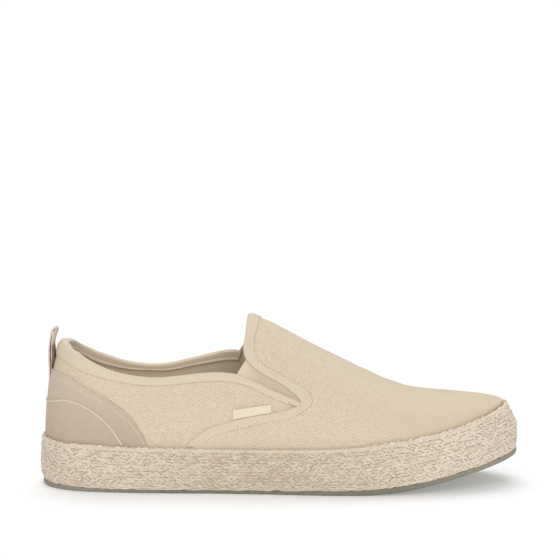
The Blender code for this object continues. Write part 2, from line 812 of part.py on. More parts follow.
def make_label(material):
    """Bare folded tab that stands in the vamp seam and lies on the quarter."""
    x = np.array([row[0] for row in LABEL])
    bottom = np.stack(side_place("lateral", x, np.array([row[1] for row in LABEL])))
    top = np.stack(side_place("lateral", x, np.array([row[2] for row in LABEL])))
    grid = np.stack([bottom, top])
    return overlay_skin("label_tab", grid[:, 0], grid[:, 1], material, outer=GAP + LABEL_THICK)


def make_loop(material):
    """Pull loop: a webbing that goes up, turns over and comes back down the heel."""
    line = np.array(LOOP_LINE)
    ahead = np.roll(line, -1, 0)
    behind = np.roll(line, 1, 0)
    ahead[-1] = line[-1]
    behind[0] = line[0]
    way = ahead - behind
    way /= np.linalg.norm(way, axis=1, keepdims=True)
    side = np.stack([-way[:, 1], way[:, 0]], 1) * LOOP_THICK / 2.0
    sections = []
    for point, out in zip(line, side):
        corners = ((point + out, -1), (point + out, 1), (point - out, 1), (point - out, -1))
        sections.append([(p[0], s * LOOP_WIDTH / 2.0, p[1]) for p, s in corners])
    return tube_strip("pull_loop", sections, material)


def main():
    global Y_MIDDLE
    clear_scene()
    ring = sole_ring(0.0, 0.0)
    Y_MIDDLE = (ring[:, 1].min() + ring[:, 1].max()) / 2.0
    rubber = make_material("outsole_rubber", "7a7565", 0.7)
    jute = make_material("jute_braid", "d6c7b3", 0.9)
    canvas = make_material("canvas_twill", "dfcfb5", 0.9)
    lining = make_material("insole_cloth", "cdbb9c", 0.9)
    suede = make_material("counter_suede", "c9b5a0", 0.9)
    elastic = make_material("gore_elastic", "d2c2ad", 0.85)
    label = make_material("label_cotton", "ebdfc4", 0.8)
    webbing = make_material("loop_webbing", "e0cfbf", 0.85)
    make_outsole(rubber)
    make_midsole(jute)
    make_insole(lining)
    make_upper(canvas)
    make_counter(suede)
    make_binding(canvas)
    make_hem(canvas)
    make_gore("lateral", elastic)
    make_gore("medial", elastic)
    make_label(label)
    make_loop(webbing)


main()
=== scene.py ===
# %% [markdown]
# # A canvas slip-on shoe on a jute-wrapped sole
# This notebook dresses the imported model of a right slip-on shoe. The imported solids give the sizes, the
# collision and the mass. Here each of them gets the cloth, yarn, suede and rubber that the real shoe
# shows.
#
# A shoe could be sculpted by hand, but then no seam would follow the last. Instead one surface function
# describes the last, and every panel, strip, stitch and strand is a flat grid bent over that function.

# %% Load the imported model
import math

import bmesh
import bpy
import numpy as np
from mathutils import Matrix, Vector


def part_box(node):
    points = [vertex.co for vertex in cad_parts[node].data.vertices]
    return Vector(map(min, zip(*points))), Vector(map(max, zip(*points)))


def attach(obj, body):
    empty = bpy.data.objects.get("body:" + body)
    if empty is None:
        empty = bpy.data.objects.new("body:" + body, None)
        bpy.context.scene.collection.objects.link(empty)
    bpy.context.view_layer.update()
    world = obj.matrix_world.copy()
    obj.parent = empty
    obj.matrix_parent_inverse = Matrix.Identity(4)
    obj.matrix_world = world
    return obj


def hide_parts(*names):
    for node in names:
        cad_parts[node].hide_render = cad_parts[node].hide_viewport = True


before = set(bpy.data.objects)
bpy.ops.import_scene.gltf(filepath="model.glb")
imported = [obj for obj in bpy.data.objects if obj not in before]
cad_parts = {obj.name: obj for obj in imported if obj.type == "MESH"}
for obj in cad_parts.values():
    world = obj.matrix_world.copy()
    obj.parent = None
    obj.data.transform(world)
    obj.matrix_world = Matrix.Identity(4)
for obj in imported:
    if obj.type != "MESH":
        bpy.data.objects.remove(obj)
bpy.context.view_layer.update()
BODY = "root"
MM = 0.001
sole_low, sole_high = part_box("midsole")
LENGTH = (sole_high.x - sole_low.x) / MM
print("nodes:", ", ".join(sorted(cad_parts)))
print(f"sole length {LENGTH:.1f} mm")

# %% [markdown]
# ## Tables of the last
# A last is the foot-shaped block that a shoe is built on. Its sizes are kept in short tables in
# millimetres: x runs from the heel's back to the toe, y from the outer to the inner side, z is the height
# over the floor. They are the same tables as in the construction script, so that cloth and solids share
# one surface.

# %% Driving sizes and tables of the last
OUTSOLE_THICK = 2.3
WALL = 2.0
SPRING_START = 190.0
SPRING_BEND = 60.0
SPRING_SLOPE = 0.235
HEEL_FAN = (70.0, 25.0)
TOE_FAN = (190.0, 60.0)
LOWER_SHARE = 0.3
LEAN_START = 0.4
GAP = 0.3

OUTLINE = (
    # angle, lateral, medial half width
    (0, 0.0, 0.0),
    (15, 19.0, 19.0),
    (30, 32.5, 32.3),
    (45, 38.8, 37.2),
    (60, 41.5, 36.6),
    (75, 42.8, 36.0),
    (90, 46.6, 40.6),
    (105, 50.5, 48.6),
    (120, 48.3, 52.5),
    (135, 39.6, 50.4),
    (150, 27.0, 42.6),
    (165, 10.2, 27.4),
    (180, -8.6, 8.6),
)
PROFILE = (
    # x, rim top, ridge height, ridge y, fullness, foot inset, rim lean, hem taper, footbed
    (0, 30.4, 123.0, 0.0, 2.00, 3.9, 0.9, 2.0, 16.5),
    (25, 28.9, 122.5, 0.0, 1.90, 3.9, 1.0, 1.8, 16.4),
    (60, 28.3, 121.0, 0.3, 1.62, 3.9, 1.0, 1.5, 16.0),
    (95, 27.9, 117.0, 1.2, 1.66, 3.9, 1.0, 1.5, 15.2),
    (115, 27.9, 111.8, 2.0, 1.95, 3.9, 1.0, 1.5, 14.6),
    (129, 28.0, 105.3, 2.7, 2.15, 3.9, 1.0, 1.5, 14.2),
    (147, 28.2, 96.4, 3.7, 2.20, 3.9, 1.0, 1.5, 13.7),
    (170, 28.9, 83.8, 5.2, 2.25, 3.9, 1.0, 1.5, 13.1),
    (192, 30.3, 72.9, 6.7, 2.30, 3.9, 1.0, 1.5, 12.7),
    (215, 33.0, 61.8, 7.8, 2.36, 4.0, 1.1, 1.4, 12.5),
    (230, 35.1, 56.9, 8.4, 2.42, 4.3, 1.4, 1.3, 12.5),
    (248, 38.2, 54.6, 8.8, 2.50, 5.0, 2.0, 1.2, 12.5),
    (265, 42.1, 53.4, 9.0, 2.55, 6.2, 3.0, 1.0, 12.5),
    (280, 46.2, 52.7, 9.0, 2.60, 7.8, 4.0, 0.9, 12.5),
    (295, 49.4, 52.4, 9.0, 2.60, 9.6, 4.6, 0.8, 12.5),
)
print(len(OUTLINE), "outline rows,", len(PROFILE), "profile rows")

# %% [markdown]
# ## Smooth curves through a table
# A maker draws a fair line through a few measured points. A natural cubic does the same in code: it
# passes through each row of a table and bends as little as it can in between.

# %% Curves
def ring_curve(values):
    """A smooth closed curve through equally spaced values; its argument counts the values."""
    y = np.asarray(values, float)
    count = len(y)
    bend = 4.0 * np.eye(count) + np.roll(np.eye(count), 1, 0) + np.roll(np.eye(count), -1, 0)
    m = np.linalg.solve(bend, 6.0 * (np.roll(y, -1) - 2.0 * y + np.roll(y, 1)))

    def value(u):
        low = np.floor(u).astype(int)
        t = u - low
        i = low % count
        j = (low + 1) % count
        sag = t * (1.0 - t) / 6.0 * ((2.0 - t) * m[i] + (1.0 + t) * m[j])
        return (1.0 - t) * y[i] + t * y[j] - sag

    return value


def table_curve(rows, column):
    """A smooth open curve through one column of a table against its first."""
    x = np.array([row[0] for row in rows], float)
    y = np.array([row[column] for row in rows], float)
    h = np.diff(x)
    count = len(x)
    bend = np.eye(count)
    load = np.zeros(count)
    for i in range(1, count - 1):
        bend[i, i - 1:i + 2] = (h[i - 1], 2.0 * (h[i - 1] + h[i]), h[i])
        load[i] = 6.0 * ((y[i + 1] - y[i]) / h[i] - (y[i] - y[i - 1]) / h[i - 1])
    m = np.linalg.solve(bend, load)

    def value(u):
        u = np.clip(u, x[0], x[-1])
        i = np.clip(np.searchsorted(x, u, side="right") - 1, 0, count - 2)
        a = (x[i + 1] - u) / h[i]
        b = (u - x[i]) / h[i]
        curve = ((a ** 3 - a) * m[i] + (b ** 3 - b) * m[i + 1]) * h[i] ** 2 / 6.0
        return a * y[i] + b * y[i + 1] + curve

    return value


def line_reach(points):
    """Length along a line of points, from its first."""
    step = np.linalg.norm(np.diff(points, axis=0), axis=-1)
    return np.concatenate([[0.0], np.cumsum(step)])


def read_line(table, reach, stations):
    """Places read between the rows of a table, at some lengths along its line."""
    return np.stack([np.interp(stations, reach, table[:, k]) for k in range(3)], -1)


def smooth_step(x, low, high):
    """0 below low, 1 above high, and a soft step in between."""
    t = np.clip((np.asarray(x, float) - low) / (high - low), 0.0, 1.0)
    return t * t * (3.0 - 2.0 * t)


outline_y = ring_curve(
    [-row[1] for row in OUTLINE] + [row[2] for row in reversed(OUTLINE[1:-1])])
OUTLINE_STEP = OUTLINE[1][0] - OUTLINE[0][0]
rim_top, ridge_z, ridge_y, fullness, foot_inset, rim_lean, hem_taper, footbed = (
    table_curve(PROFILE, column) for column in range(1, len(PROFILE[0])))
print(f"rim {rim_top(0.0):.1f} mm high at the heel, {rim_top(LENGTH):.1f} mm at the toe")

# %% [markdown]
# ## The surface of the last
# The upper is described by two numbers. The angle goes once round the sole: 0 at the heel's back, 180 at
# the toe, with the inner side at negative angles. The rise goes from 0 at the sole's rim to 1 on the
# ridge over the instep. Each rib from rim to ridge is part of a superellipse, which is fuller or flatter
# as the last is.

# %% The surface function
def ground(x):
    """Height of the outsole's underside: level under heel and ball, then the toe spring."""
    run = np.clip(x - SPRING_START, 0.0, None)
    bend = SPRING_SLOPE * np.minimum(run, SPRING_BEND) ** 2 / (2.0 * SPRING_BEND)
    return bend + SPRING_SLOPE * np.clip(run - SPRING_BEND, 0.0, None)


def along(angle):
    """Place along the shoe's length of an angle round its outline."""
    return LENGTH / 2.0 * (1.0 - np.cos(np.radians(angle)))


def half_angle(x):
    """The outline's angle, 0 to 180, at a place along the length."""
    return np.degrees(np.arccos(np.clip(1.0 - 2.0 * np.asarray(x, float) / LENGTH, -1.0, 1.0)))


def outline(angle, inset=0.0):
    """The sole's outline in plan, moved inwards by the inset. Returns x, y and the way out."""
    angle = np.asarray(angle, float)

    def place(a):
        return along(a), outline_y(a / OUTLINE_STEP)

    near = 0.5               # degrees
    x0, y0 = place(angle - near)
    x1, y1 = place(angle + near)
    size = np.hypot(x1 - x0, y1 - y0)
    out_x = (y1 - y0) / size
    out_y = -(x1 - x0) / size
    x, y = place(angle)
    return x - inset * out_x, y - inset * out_y, out_x, out_y


def ridge_x(x):
    """Where on the ridge the rib from an outline point at x ends."""
    heel, heel_reach = HEEL_FAN
    toe, toe_reach = TOE_FAN
    back = heel - heel_reach * np.tanh((heel - x) / heel_reach)
    front = toe + toe_reach * np.tanh((x - toe) / toe_reach)
    return np.where(x < heel, back, np.where(x > toe, front, x))


RIM_DROP = 40.0              # mm under the rim for each unit of rise below 0
RIDGE_RISE = 0.9999          # from here up, a point counts as lying on the ridge


def last_place(angle, rise):
    """A point of the upper's outer face. Below the rim the wall drops straight down."""
    angle, rise = np.broadcast_arrays(np.asarray(angle, float), np.asarray(rise, float))
    x = along(angle)
    foot_x, foot_y, _, _ = outline(angle, foot_inset(x))
    top_x = ridge_x(x)
    top_y = ridge_y(top_x)
    power = 2.0 / fullness(x)
    turn = np.clip(rise, 0.0, 1.0) * math.pi / 2.0
    reach = np.clip(np.cos(turn), 0.0, 1.0) ** power
    lift = np.sin(turn) ** power
    here_x = top_x + (foot_x - top_x) * reach
    here_y = top_y + (foot_y - top_y) * reach
    low = rim_top(x)
    here_z = low + (ridge_z(here_x) - low) * lift + RIM_DROP * np.minimum(rise, 0.0)
    return np.stack([here_x, here_y, here_z], -1)


def last_frame(angle, rise):
    """Point, the two surface directions and the outward normal."""
    angle, rise = np.broadcast_arrays(np.asarray(angle, float), np.asarray(rise, float))
    d_angle = 0.2
    d_rise = 0.002
    low = np.clip(rise - d_rise, 0.0, 1.0 - 2.0 * d_rise)
    high = low + 2.0 * d_rise
    ahead = last_place(angle + d_angle, rise)
    behind = last_place(angle - d_angle, rise)
    along_way = (ahead - behind) / (2.0 * d_angle)
    up_way = (last_place(angle, high) - last_place(angle, low)) / (2.0 * d_rise)
    normal = np.cross(along_way, up_way)
    point = last_place(angle, rise)
    half_mm = 0.5
    slope = ridge_z(point[..., 0] + half_mm) - ridge_z(point[..., 0] - half_mm)
    crown = np.stack([-slope, np.zeros_like(slope), np.ones_like(slope)], -1)
    on_ridge = (rise > RIDGE_RISE)[..., None]
    normal = np.where(on_ridge, crown, normal)
    normal = normal / np.linalg.norm(normal, axis=-1, keepdims=True)
    return point, along_way, up_way, normal


def last_point(angle, rise, out=0.0):
    """A point that stands out from the upper's outer face by a distance."""
    point, _, _, normal = last_frame(angle, rise)
    return point + normal * np.asarray(out, float)[..., None]


plan = outline(np.arange(0.0, 360.0, 1.0))[1]
MIDDLE_Y = (plan.min() + plan.max()) / 2.0


def to_world(point):
    """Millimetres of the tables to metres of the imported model."""
    return (np.asarray(point, float) - np.array([LENGTH / 2.0, MIDDLE_Y, 0.0])) * MM


print("toe tip of the upper, in metres:", np.round(to_world(last_place(180.0, 0.0)), 4))

# %% [markdown]
# ## Finding places on the surface
# Seams are drawn as they are seen from the side, by x and height. A search by halving finds the angle and
# the rise of such a point. It is slower than a formula, but it works for any table of the last.

# %% Searches
HALVINGS = 36


def halved(high, is_below):
    """Where, between 0 and high, a test stops being true."""
    low = np.zeros_like(high)
    for _ in range(HALVINGS):
        middle = (low + high) / 2.0
        below = is_below(middle)
        low = np.where(below, middle, low)
        high = np.where(below, high, middle)
    return (low + high) / 2.0


def rise_at(angle, z):
    """The rise at which the rib of an angle reaches a height."""
    top = np.ones_like(np.asarray(angle, float))
    return halved(top, lambda rise: last_place(angle, rise)[..., 2] < z)


def side_place(side, x, z):
    """Angle and rise of the point at x and z as seen from one side (1 outer, -1 inner)."""
    x = np.asarray(x, float)

    def is_behind(half):
        return last_place(side * half, rise_at(side * half, z))[..., 0] < x

    angle = side * halved(np.full_like(x, 180.0), is_behind)
    return angle, rise_at(angle, z)


def edge_rise(angle, edge):
    """The rise at which a rib meets an edge given as height against x."""
    def is_below(rise):
        point = last_place(angle, rise)
        return point[..., 2] < edge(point[..., 0])

    return halved(np.ones_like(np.asarray(angle, float)), is_below)


OUTER_SIDE = 1
INNER_SIDE = -1
print("a point at x 100, z 50 has angle and rise", np.round(side_place(OUTER_SIDE, 100.0, 50.0), 2))

# %% [markdown]
# ## Bending a grid
# Blender's grid operator makes a flat sheet of quads. Moving its points to places on the last turns it
# into a panel, just as cloth is pulled over the wooden block. The second set of numbers is where each
# point lay on the flat cloth, in metres: it becomes the UV map, so that a weave keeps its true size.

# %% Grid helpers
WELD = 0.00001               # metres
CLOTH_MAP = "cloth"          # the flat map
# In the ribbed cloths this attribute is 0 where their painted light or painted shade goes.
WEAVE = "weave"              # how clearly the weave shows at a point, 0 to 1


def new_piece(name, bm):
    """Makes an object from a bmesh."""
    mesh = bpy.data.meshes.new(name)
    bm.to_mesh(mesh)
    bm.free()
    piece = bpy.data.objects.new(name, mesh)
    bpy.context.scene.collection.objects.link(piece)
    return piece


def bent_grid(name, points, cloth=None, weld=False, weave=1.0):
    """A sheet through a grid of points in mm, columns by rows; u cross v is its outer side."""
    rows = points.shape[0] - 1
    columns = points.shape[1] - 1
    bm = bmesh.new()
    bmesh.ops.create_grid(bm, x_segments=columns, y_segments=rows, size=0.5)
    flat = np.array([vert.co for vert in bm.verts])
    column = np.rint((flat[:, 0] + 0.5) * columns).astype(int)
    row = np.rint((flat[:, 1] + 0.5) * rows).astype(int)
    place = to_world(points)[row, column]
    for vert, co in zip(bm.verts, place):
        vert.co = co
    if cloth is not None:
        clear = bm.verts.layers.float.new(WEAVE)
        shown = np.broadcast_to(weave, points.shape[:2])[row, column]
        for vert, value in zip(bm.verts, shown):
            vert[clear] = value
        layer = bm.loops.layers.uv.new(CLOTH_MAP)
        uv = np.asarray(cloth, float)[row, column] * MM
        for face in bm.faces:
            for loop in face.loops:
                loop[layer].uv = uv[loop.vert.index]
    if weld:
        bmesh.ops.remove_doubles(bm, verts=bm.verts[:], dist=WELD)
    return new_piece(name, bm)


def arc_up(points):
    """Length along each column, from the first row, in mm."""
    step = np.linalg.norm(np.diff(points, axis=0), axis=-1)
    return np.concatenate([np.zeros((1, points.shape[1])), np.cumsum(step, 0)])


def arc_along(points):
    """Length along each row, from the first column, in mm."""
    return arc_up(np.swapaxes(points, 0, 1)).T


def strip_sheet(name, points, weave=1.0):
    """A bent grid whose flat map is its own length and width."""
    return bent_grid(name, points, np.stack([arc_along(points), arc_up(points)], -1), weave=weave)


def spread(count):
    """Even shares from 0 to 1."""
    return np.linspace(0.0, 1.0, count)


def applied(piece):
    """Applies a piece's modifiers, so that its mesh is what shows."""
    graph = bpy.context.evaluated_depsgraph_get()
    mesh = bpy.data.meshes.new_from_object(piece.evaluated_get(graph))
    piece.modifiers.clear()
    piece.data = mesh
    return piece


def thicken(piece, thickness):
    """Gives a sheet its thickness, on its inner side, with closed edges."""
    solid = piece.modifiers.new("thickness", "SOLIDIFY")
    solid.thickness = thickness * MM
    solid.offset = -1.0
    return applied(piece)


made = {}                    # the triangles of each finished piece


def dress(piece, material, slot, *nodes, sharp=35.0):
    """Shades a finished piece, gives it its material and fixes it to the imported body."""
    piece.data.shade_smooth()
    piece.data.set_sharp_from_angle(angle=math.radians(sharp))
    piece.data.materials.clear()
    piece.data.materials.append(material)
    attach(piece, BODY)
    if nodes:
        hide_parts(*nodes)
    triangles = sum(len(face.vertices) - 2 for face in piece.data.polygons)
    made[piece.name] = triangles
    print(f"{piece.name}: {triangles} triangles")
    return piece


# %% [markdown]
# ## Repeating a small shape
# Stitches and jute strands are one small shape, hundreds of times over. An Array modifier copies a
# template, and then every copy is laid in its own place along a seam or round the sole.

# %% Repeating helper
def small_capsule(segments, rings):
    """A rounded bead one unit across, made from a UV sphere with its poles along x."""
    bm = bmesh.new()
    bmesh.ops.create_uvsphere(bm, u_segments=segments, v_segments=rings, radius=0.5)
    bmesh.ops.rotate(bm, verts=bm.verts[:], matrix=Matrix.Rotation(math.pi / 2.0, 3, "Y"))
    return bm


def copies(name, template, count):
    """A mesh with a number of copies of a template, and the copies' own coordinates."""
    piece = new_piece(name, template)
    array = piece.modifiers.new("copies", "ARRAY")
    array.count = count
    array.use_relative_offset = False
    array.use_constant_offset = True
    array.constant_offset_displace = (0.0, 0.0, 0.0)
    array.use_merge_vertices = False
    applied(piece)
    own = np.zeros(len(piece.data.vertices) * 3)
    piece.data.vertices.foreach_get("co", own)
    return piece, own.reshape(count, -1, 3)


def set_points(piece, points):
    """Puts a piece's vertices at points given in mm."""
    piece.data.vertices.foreach_set("co", to_world(points).reshape(-1))
    piece.data.update()


# %% [markdown]
# ## Laying copies
# A copy is laid by four things: its centre, the way it points, the way it faces, and its size. The same
# function lays jute strands, stitches, the twist of a cord and the studs of the tread.

# %% Laying helper
def unit(vectors):
    """The same ways, each one unit long."""
    return vectors / np.linalg.norm(vectors, axis=-1, keepdims=True)


def lay(name, centres, ways, normals, sizes, segments=6, rings=4):
    """Rounded beads in mm, each with its long axis on its way and its height on its normal."""
    ways = unit(ways)
    sides = unit(np.cross(normals, ways))
    axes = (ways, sides, np.cross(ways, sides))
    sizes = np.broadcast_to(np.asarray(sizes, float), centres.shape)
    piece, own = copies(name, small_capsule(segments, rings), len(centres))
    scaled = own * sizes[:, None, :]
    points = centres[:, None, :] + sum(
        scaled[..., k:k + 1] * axis[:, None, :] for k, axis in enumerate(axes))
    set_points(piece, points)
    return piece, own


def pace(points, normals, pitch):
    """Places every pitch mm along a line, with the line's way and the surface's normal there."""
    reach = line_reach(points)
    count = max(int(reach[-1] / pitch), 2)
    stations = (np.arange(count) + 0.5) * reach[-1] / count
    near = 0.3               # mm
    behind = read_line(points, reach, np.clip(stations - near, 0.0, reach[-1]))
    ahead = read_line(points, reach, np.clip(stations + near, 0.0, reach[-1]))
    return read_line(points, reach, stations), ahead - behind, unit(read_line(normals, reach, stations))


def sew(name, angle, rise, out, pitch, size, material, slot):
    """A row of stitches along a line over the last."""
    point, _, _, normal = last_frame(angle, rise)
    points = point + normal * np.broadcast_to(np.asarray(out, float), angle.shape)[..., None]
    here, ways, faces = pace(points, normal, pitch)
    piece, _ = lay(name, here, ways, faces, size)
    return dress(piece, material, slot)


# %% [markdown]
# ## Light, floor and camera
# The shoe stands on a pale studio floor under a broad even light, so that its form shows in soft shade
# and only a thin shadow lies where the sole meets the floor. The camera looks from the outer side, a
# little from above, through a long lens that hardly bends the shoe's proportions.

# %% Colour and node helpers
def srgb(colour):
    """An sRGB hex colour as linear values."""
    parts = [int(colour[i:i + 2], 16) / 255.0 for i in (0, 2, 4)]
    return (*(c / 12.92 if c <= 0.04045 else ((c + 0.055) / 1.055) ** 2.4 for c in parts), 1.0)


def add(tree, kind, inputs=None, **settings):
    """Adds a node: its settings by name, and its inputs by name or number, linked or set."""
    node = tree.nodes.new("ShaderNode" + kind)
    for name, value in settings.items():
        setattr(node, name, value)
    for name, value in (inputs or {}).items():
        if isinstance(value, bpy.types.NodeSocket):
            tree.links.new(value, node.inputs[name])
        else:
            node.inputs[name].default_value = value
    return node


def start_material(name, roughness, sheen=0.0):
    """A new material with its shader; returns the material, its node tree and the shader."""
    material = bpy.data.materials.new(name)
    material.use_nodes = True
    tree = material.node_tree
    shader = tree.nodes["Principled BSDF"]
    shader.inputs["Roughness"].default_value = roughness
    shader.inputs["Specular IOR Level"].default_value = 0.25
    shader.inputs["Sheen Weight"].default_value = sheen
    shader.inputs["Sheen Roughness"].default_value = 0.5
    return material, tree, shader


def set_surface(tree, shader, colour, height=None, relief=0.0):
    """Gives a shader its colour and, from a height, its relief in mm."""
    tree.links.new(colour, shader.inputs["Base Color"])
    if height is not None:
        bump = add(tree, "Bump", {"Height": height, "Distance": relief * MM})
        tree.links.new(bump.outputs[0], shader.inputs["Normal"])


# %% Camera
CAMERA_PLACE = (0.0003, -1.98609, 0.36919)
CAMERA_TILT = 83.0           # degrees from straight down
LENS = 209.57                # mm, on a 36 mm sensor

lens = bpy.data.cameras.new("camera")
lens.lens = LENS
lens.sensor_width = 36.0
lens.clip_end = 60.0
camera = bpy.data.objects.new("camera", lens)
camera.location = CAMERA_PLACE
camera.rotation_euler = (math.radians(CAMERA_TILT), 0.0, 0.0)
bpy.context.scene.collection.objects.link(camera)
bpy.context.scene.camera = camera
bpy.context.scene.view_settings.view_transform = "Standard"
print("camera", CAMERA_PLACE)

# %% Floor
FLOOR_HALF = 30.0            # metres
FLOOR_GLOW = 0.25
bm = bmesh.new()
bmesh.ops.create_grid(bm, x_segments=8, y_segments=8, size=FLOOR_HALF)
floor = new_piece("studio_floor", bm)
paint, tree, shader = start_material("matt white acrylic, lit from below", 1.0)
shader.inputs["Base Color"].default_value = srgb("dedede")
shader.inputs["Specular IOR Level"].default_value = 0.0
shader.inputs["Emission Color"].default_value = (1.0, 1.0, 1.0, 1.0)
shader.inputs["Emission Strength"].default_value = FLOOR_GLOW
floor.data.materials.append(paint)
print("floor", 2.0 * FLOOR_HALF, "m wide")

# %% Lights
WORLD_LIGHT = 0.42


def soft_light(name, height, turn, breadth, strength):
    """A far, broad light: its height over the floor and its turn from the front, in degrees."""
    light = bpy.data.lights.new(name, "SUN")
    light.angle = math.radians(breadth)
    light.energy = strength
    item = bpy.data.objects.new(name, light)
    item.rotation_euler = (math.radians(90.0 - height), 0.0, math.radians(turn))
    bpy.context.scene.collection.objects.link(item)


world = bpy.data.worlds.new("studio")
bpy.context.scene.world = world
world.use_nodes = True
sky = world.node_tree.nodes["Background"]
sky.inputs["Color"].default_value = (1.0, 1.0, 1.0, 1.0)
sky.inputs["Strength"].default_value = WORLD_LIGHT
soft_light("top_box", 60.0, 184.0, 50.0, 1.7)
soft_light("front_box", 26.0, 4.0, 60.0, 1.5)
print("lights set")

# %% [markdown]
# ## Twill canvas
# The upper is cotton-linen canvas in a twill weave. In a twill each thread passes over two and under one,
# one step further along in each row, so the cloth shows slanting lines. Modelled threads would be too
# many, and a picture of cloth would repeat. Instead the lines are a wave over the cloth's own flat map,
# turned to the twill's angle. A second, weaker wave gives the weft, and stretched noise the yarn's thick
# and thin places.

# %% Pattern scales
def wave_scale(period):
    """Scale of a wave texture whose bands are a period in mm apart."""
    return math.pi / (10.0 * period * MM)


def noise_scale(size):
    """Scale of a noise texture with features of a size in mm."""
    return 1.0 / (size * MM)


RGBA = {"data_type": "RGBA"}
MULTIPLY = {"operation": "MULTIPLY"}
print(f"lines 1 mm apart have a wave scale of {wave_scale(1.0):.0f}")

# %% Twill canvas material
TWILL_PITCH = 1.25           # mm between two twill lines
TWILL_ANGLE = 34.0           # degrees down towards the toe
WEFT_PITCH = 1.2
WEFT_ANGLE = -50.0
YARN_WOBBLE = 1.1
CREST = srgb("f4e9d6")       # the light on the top of a thread


def canvas(name, light, dark, twill_depth, bump_mm):
    """Twill canvas: light is the thread's colour and dark the gap's."""
    material, tree, shader = start_material(name, 0.9, sheen=0.05)
    cloth = add(tree, "UVMap", uv_map=CLOTH_MAP).outputs["UV"]
    weave = add(tree, "Attribute", attribute_name=WEAVE).outputs["Fac"]
    wander = add(tree, "TexNoise", {"Vector": cloth, "Scale": noise_scale(5.0), "Detail": 2.0})
    drift = add(tree, "VectorMath", {0: wander.outputs["Color"], "Scale": 0.9 * MM},
                operation="SCALE")
    flat = add(tree, "VectorMath", {0: cloth, 1: drift.outputs[0]}, operation="ADD").outputs[0]

    def threads(angle, pitch):
        turned = add(tree, "Mapping", {"Vector": flat, "Rotation": (0.0, 0.0, math.radians(angle))})
        bands = add(tree, "TexWave", {
            "Vector": turned.outputs[0], "Scale": wave_scale(pitch), "Distortion": YARN_WOBBLE,
            "Detail": 2.0, "Detail Scale": 2.0}, bands_direction="Y")
        return bands.outputs["Fac"]

    twill = threads(TWILL_ANGLE, TWILL_PITCH)
    weft = add(tree, "MapRange", {0: threads(WEFT_ANGLE, WEFT_PITCH), 3: 0.4, 4: 1.0})
    woven = add(tree, "Math", {0: twill, 1: weft.outputs[0]}, **MULTIPLY).outputs[0]
    long_threads = add(tree, "Mapping", {"Vector": flat, "Rotation": (0.0, 0.0, math.radians(12.0)),
                                         "Scale": (0.3, 1.0, 1.0)})
    slubs = add(tree, "TexNoise", {"Vector": long_threads.outputs[0], "Scale": noise_scale(0.7),
                                   "Detail": 2.0})
    uneven = add(tree, "MapRange", {0: slubs.outputs["Fac"], 1: 0.3, 2: 0.7, 3: 0.55, 4: 1.25})
    gap = add(tree, "MapRange", {0: woven, 2: 0.62, 3: 1.0, 4: 0.0})
    uneven_gap = add(tree, "Math", {0: gap.outputs[0], 1: uneven.outputs[0]}, **MULTIPLY)
    deep = add(tree, "Mix", {0: weave, 2: 0.52, 3: uneven_gap.outputs[0]}, data_type="FLOAT").outputs[0]
    darkened = add(tree, "Math", {0: deep, 1: twill_depth}, **MULTIPLY)
    tint = add(tree, "Mix", {0: darkened.outputs[0], 6: srgb(light), 7: srgb(dark)}, **RGBA)
    top = add(tree, "MapRange", {0: woven, 1: 0.7, 4: 0.4})
    raised = add(tree, "Math", {0: top.outputs[0], 1: weave}, **MULTIPLY)
    pale = add(tree, "Mix", {0: raised.outputs[0], 6: tint.outputs[2], 7: CREST}, **RGBA)
    height = add(tree, "MapRange", {0: deep, 3: 1.0, 4: 0.0})
    set_surface(tree, shader, pale.outputs[2], height.outputs[0], bump_mm)
    return material


# Plain strips show hardly any twill, because their folded cloth is pressed flat.
twill_canvas = canvas("cotton linen twill, woven", "e4d5be", "a99676", 0.72, 0.1)
smooth_canvas = canvas("cotton canvas strip, folded", "d7c8b2", "b7a68d", 0.2, 0.04)
facing_canvas = canvas("cotton facing, folded inside", "dacbb7", "b9a892", 0.2, 0.04)
lining_canvas = canvas("cotton lining, woven", "d6c8b1", "b5a58d", 0.2, 0.04)
print("canvas materials made")

# %% [markdown]
# ## Suede
# Suede is leather split and brushed. Its nap gives a dull, slightly mottled face, and its colour is made
# lighter towards the top of the heel and darker low. Fine hairs could be grown on it, but from an arm's
# length only their mottle shows, so two noises, one broad and one as fine as the nap, give it as colour
# and relief.

# %% Suede material
suede, tree, shader = start_material("split suede, brushed", 0.95, sheen=0.15)
place = add(tree, "TexCoord").outputs["Object"]
nap = add(tree, "TexNoise", {"Vector": place, "Scale": noise_scale(6.0), "Detail": 5.0,
                             "Roughness": 0.65})
grit = add(tree, "TexNoise", {"Vector": place, "Scale": noise_scale(0.7), "Detail": 3.0})
patches = add(tree, "MapRange", {0: nap.outputs["Fac"], 1: 0.3, 2: 0.7})
mottled = add(tree, "Mix", {0: patches.outputs[0], 6: srgb("b29f8b"), 7: srgb("bdaa96")}, **RGBA)
specks = add(tree, "MapRange", {0: grit.outputs["Fac"], 1: 0.35, 2: 0.65, 4: 0.5})
grain = add(tree, "Mix", {0: specks.outputs[0], 6: mottled.outputs[2], 7: srgb("c3b19e")}, **RGBA)
# the colour grows lighter towards the top of the heel and darker low
height_of = add(tree, "SeparateXYZ", {0: place}).outputs["Z"]
heel_height_share = add(tree, "MapRange", {0: height_of, 1: 0.030, 2: 0.066, 4: 0.55})
heel_graded = add(tree, "Mix", {0: heel_height_share.outputs[0], 6: grain.outputs[2], 7: srgb("d2c3b0")}, **RGBA)
set_surface(tree, shader, heel_graded.outputs[2], grit.outputs["Fac"], 0.15)
print("suede made")

# %% [markdown]
# ## Elastic, tape and thread
# The gore is a knitted elastic with fine upright ribs, the label and the loop are plain woven cotton, and
# the thread is twisted cotton. All three cloths show one set of ribs, so one function makes them from a
# wave.

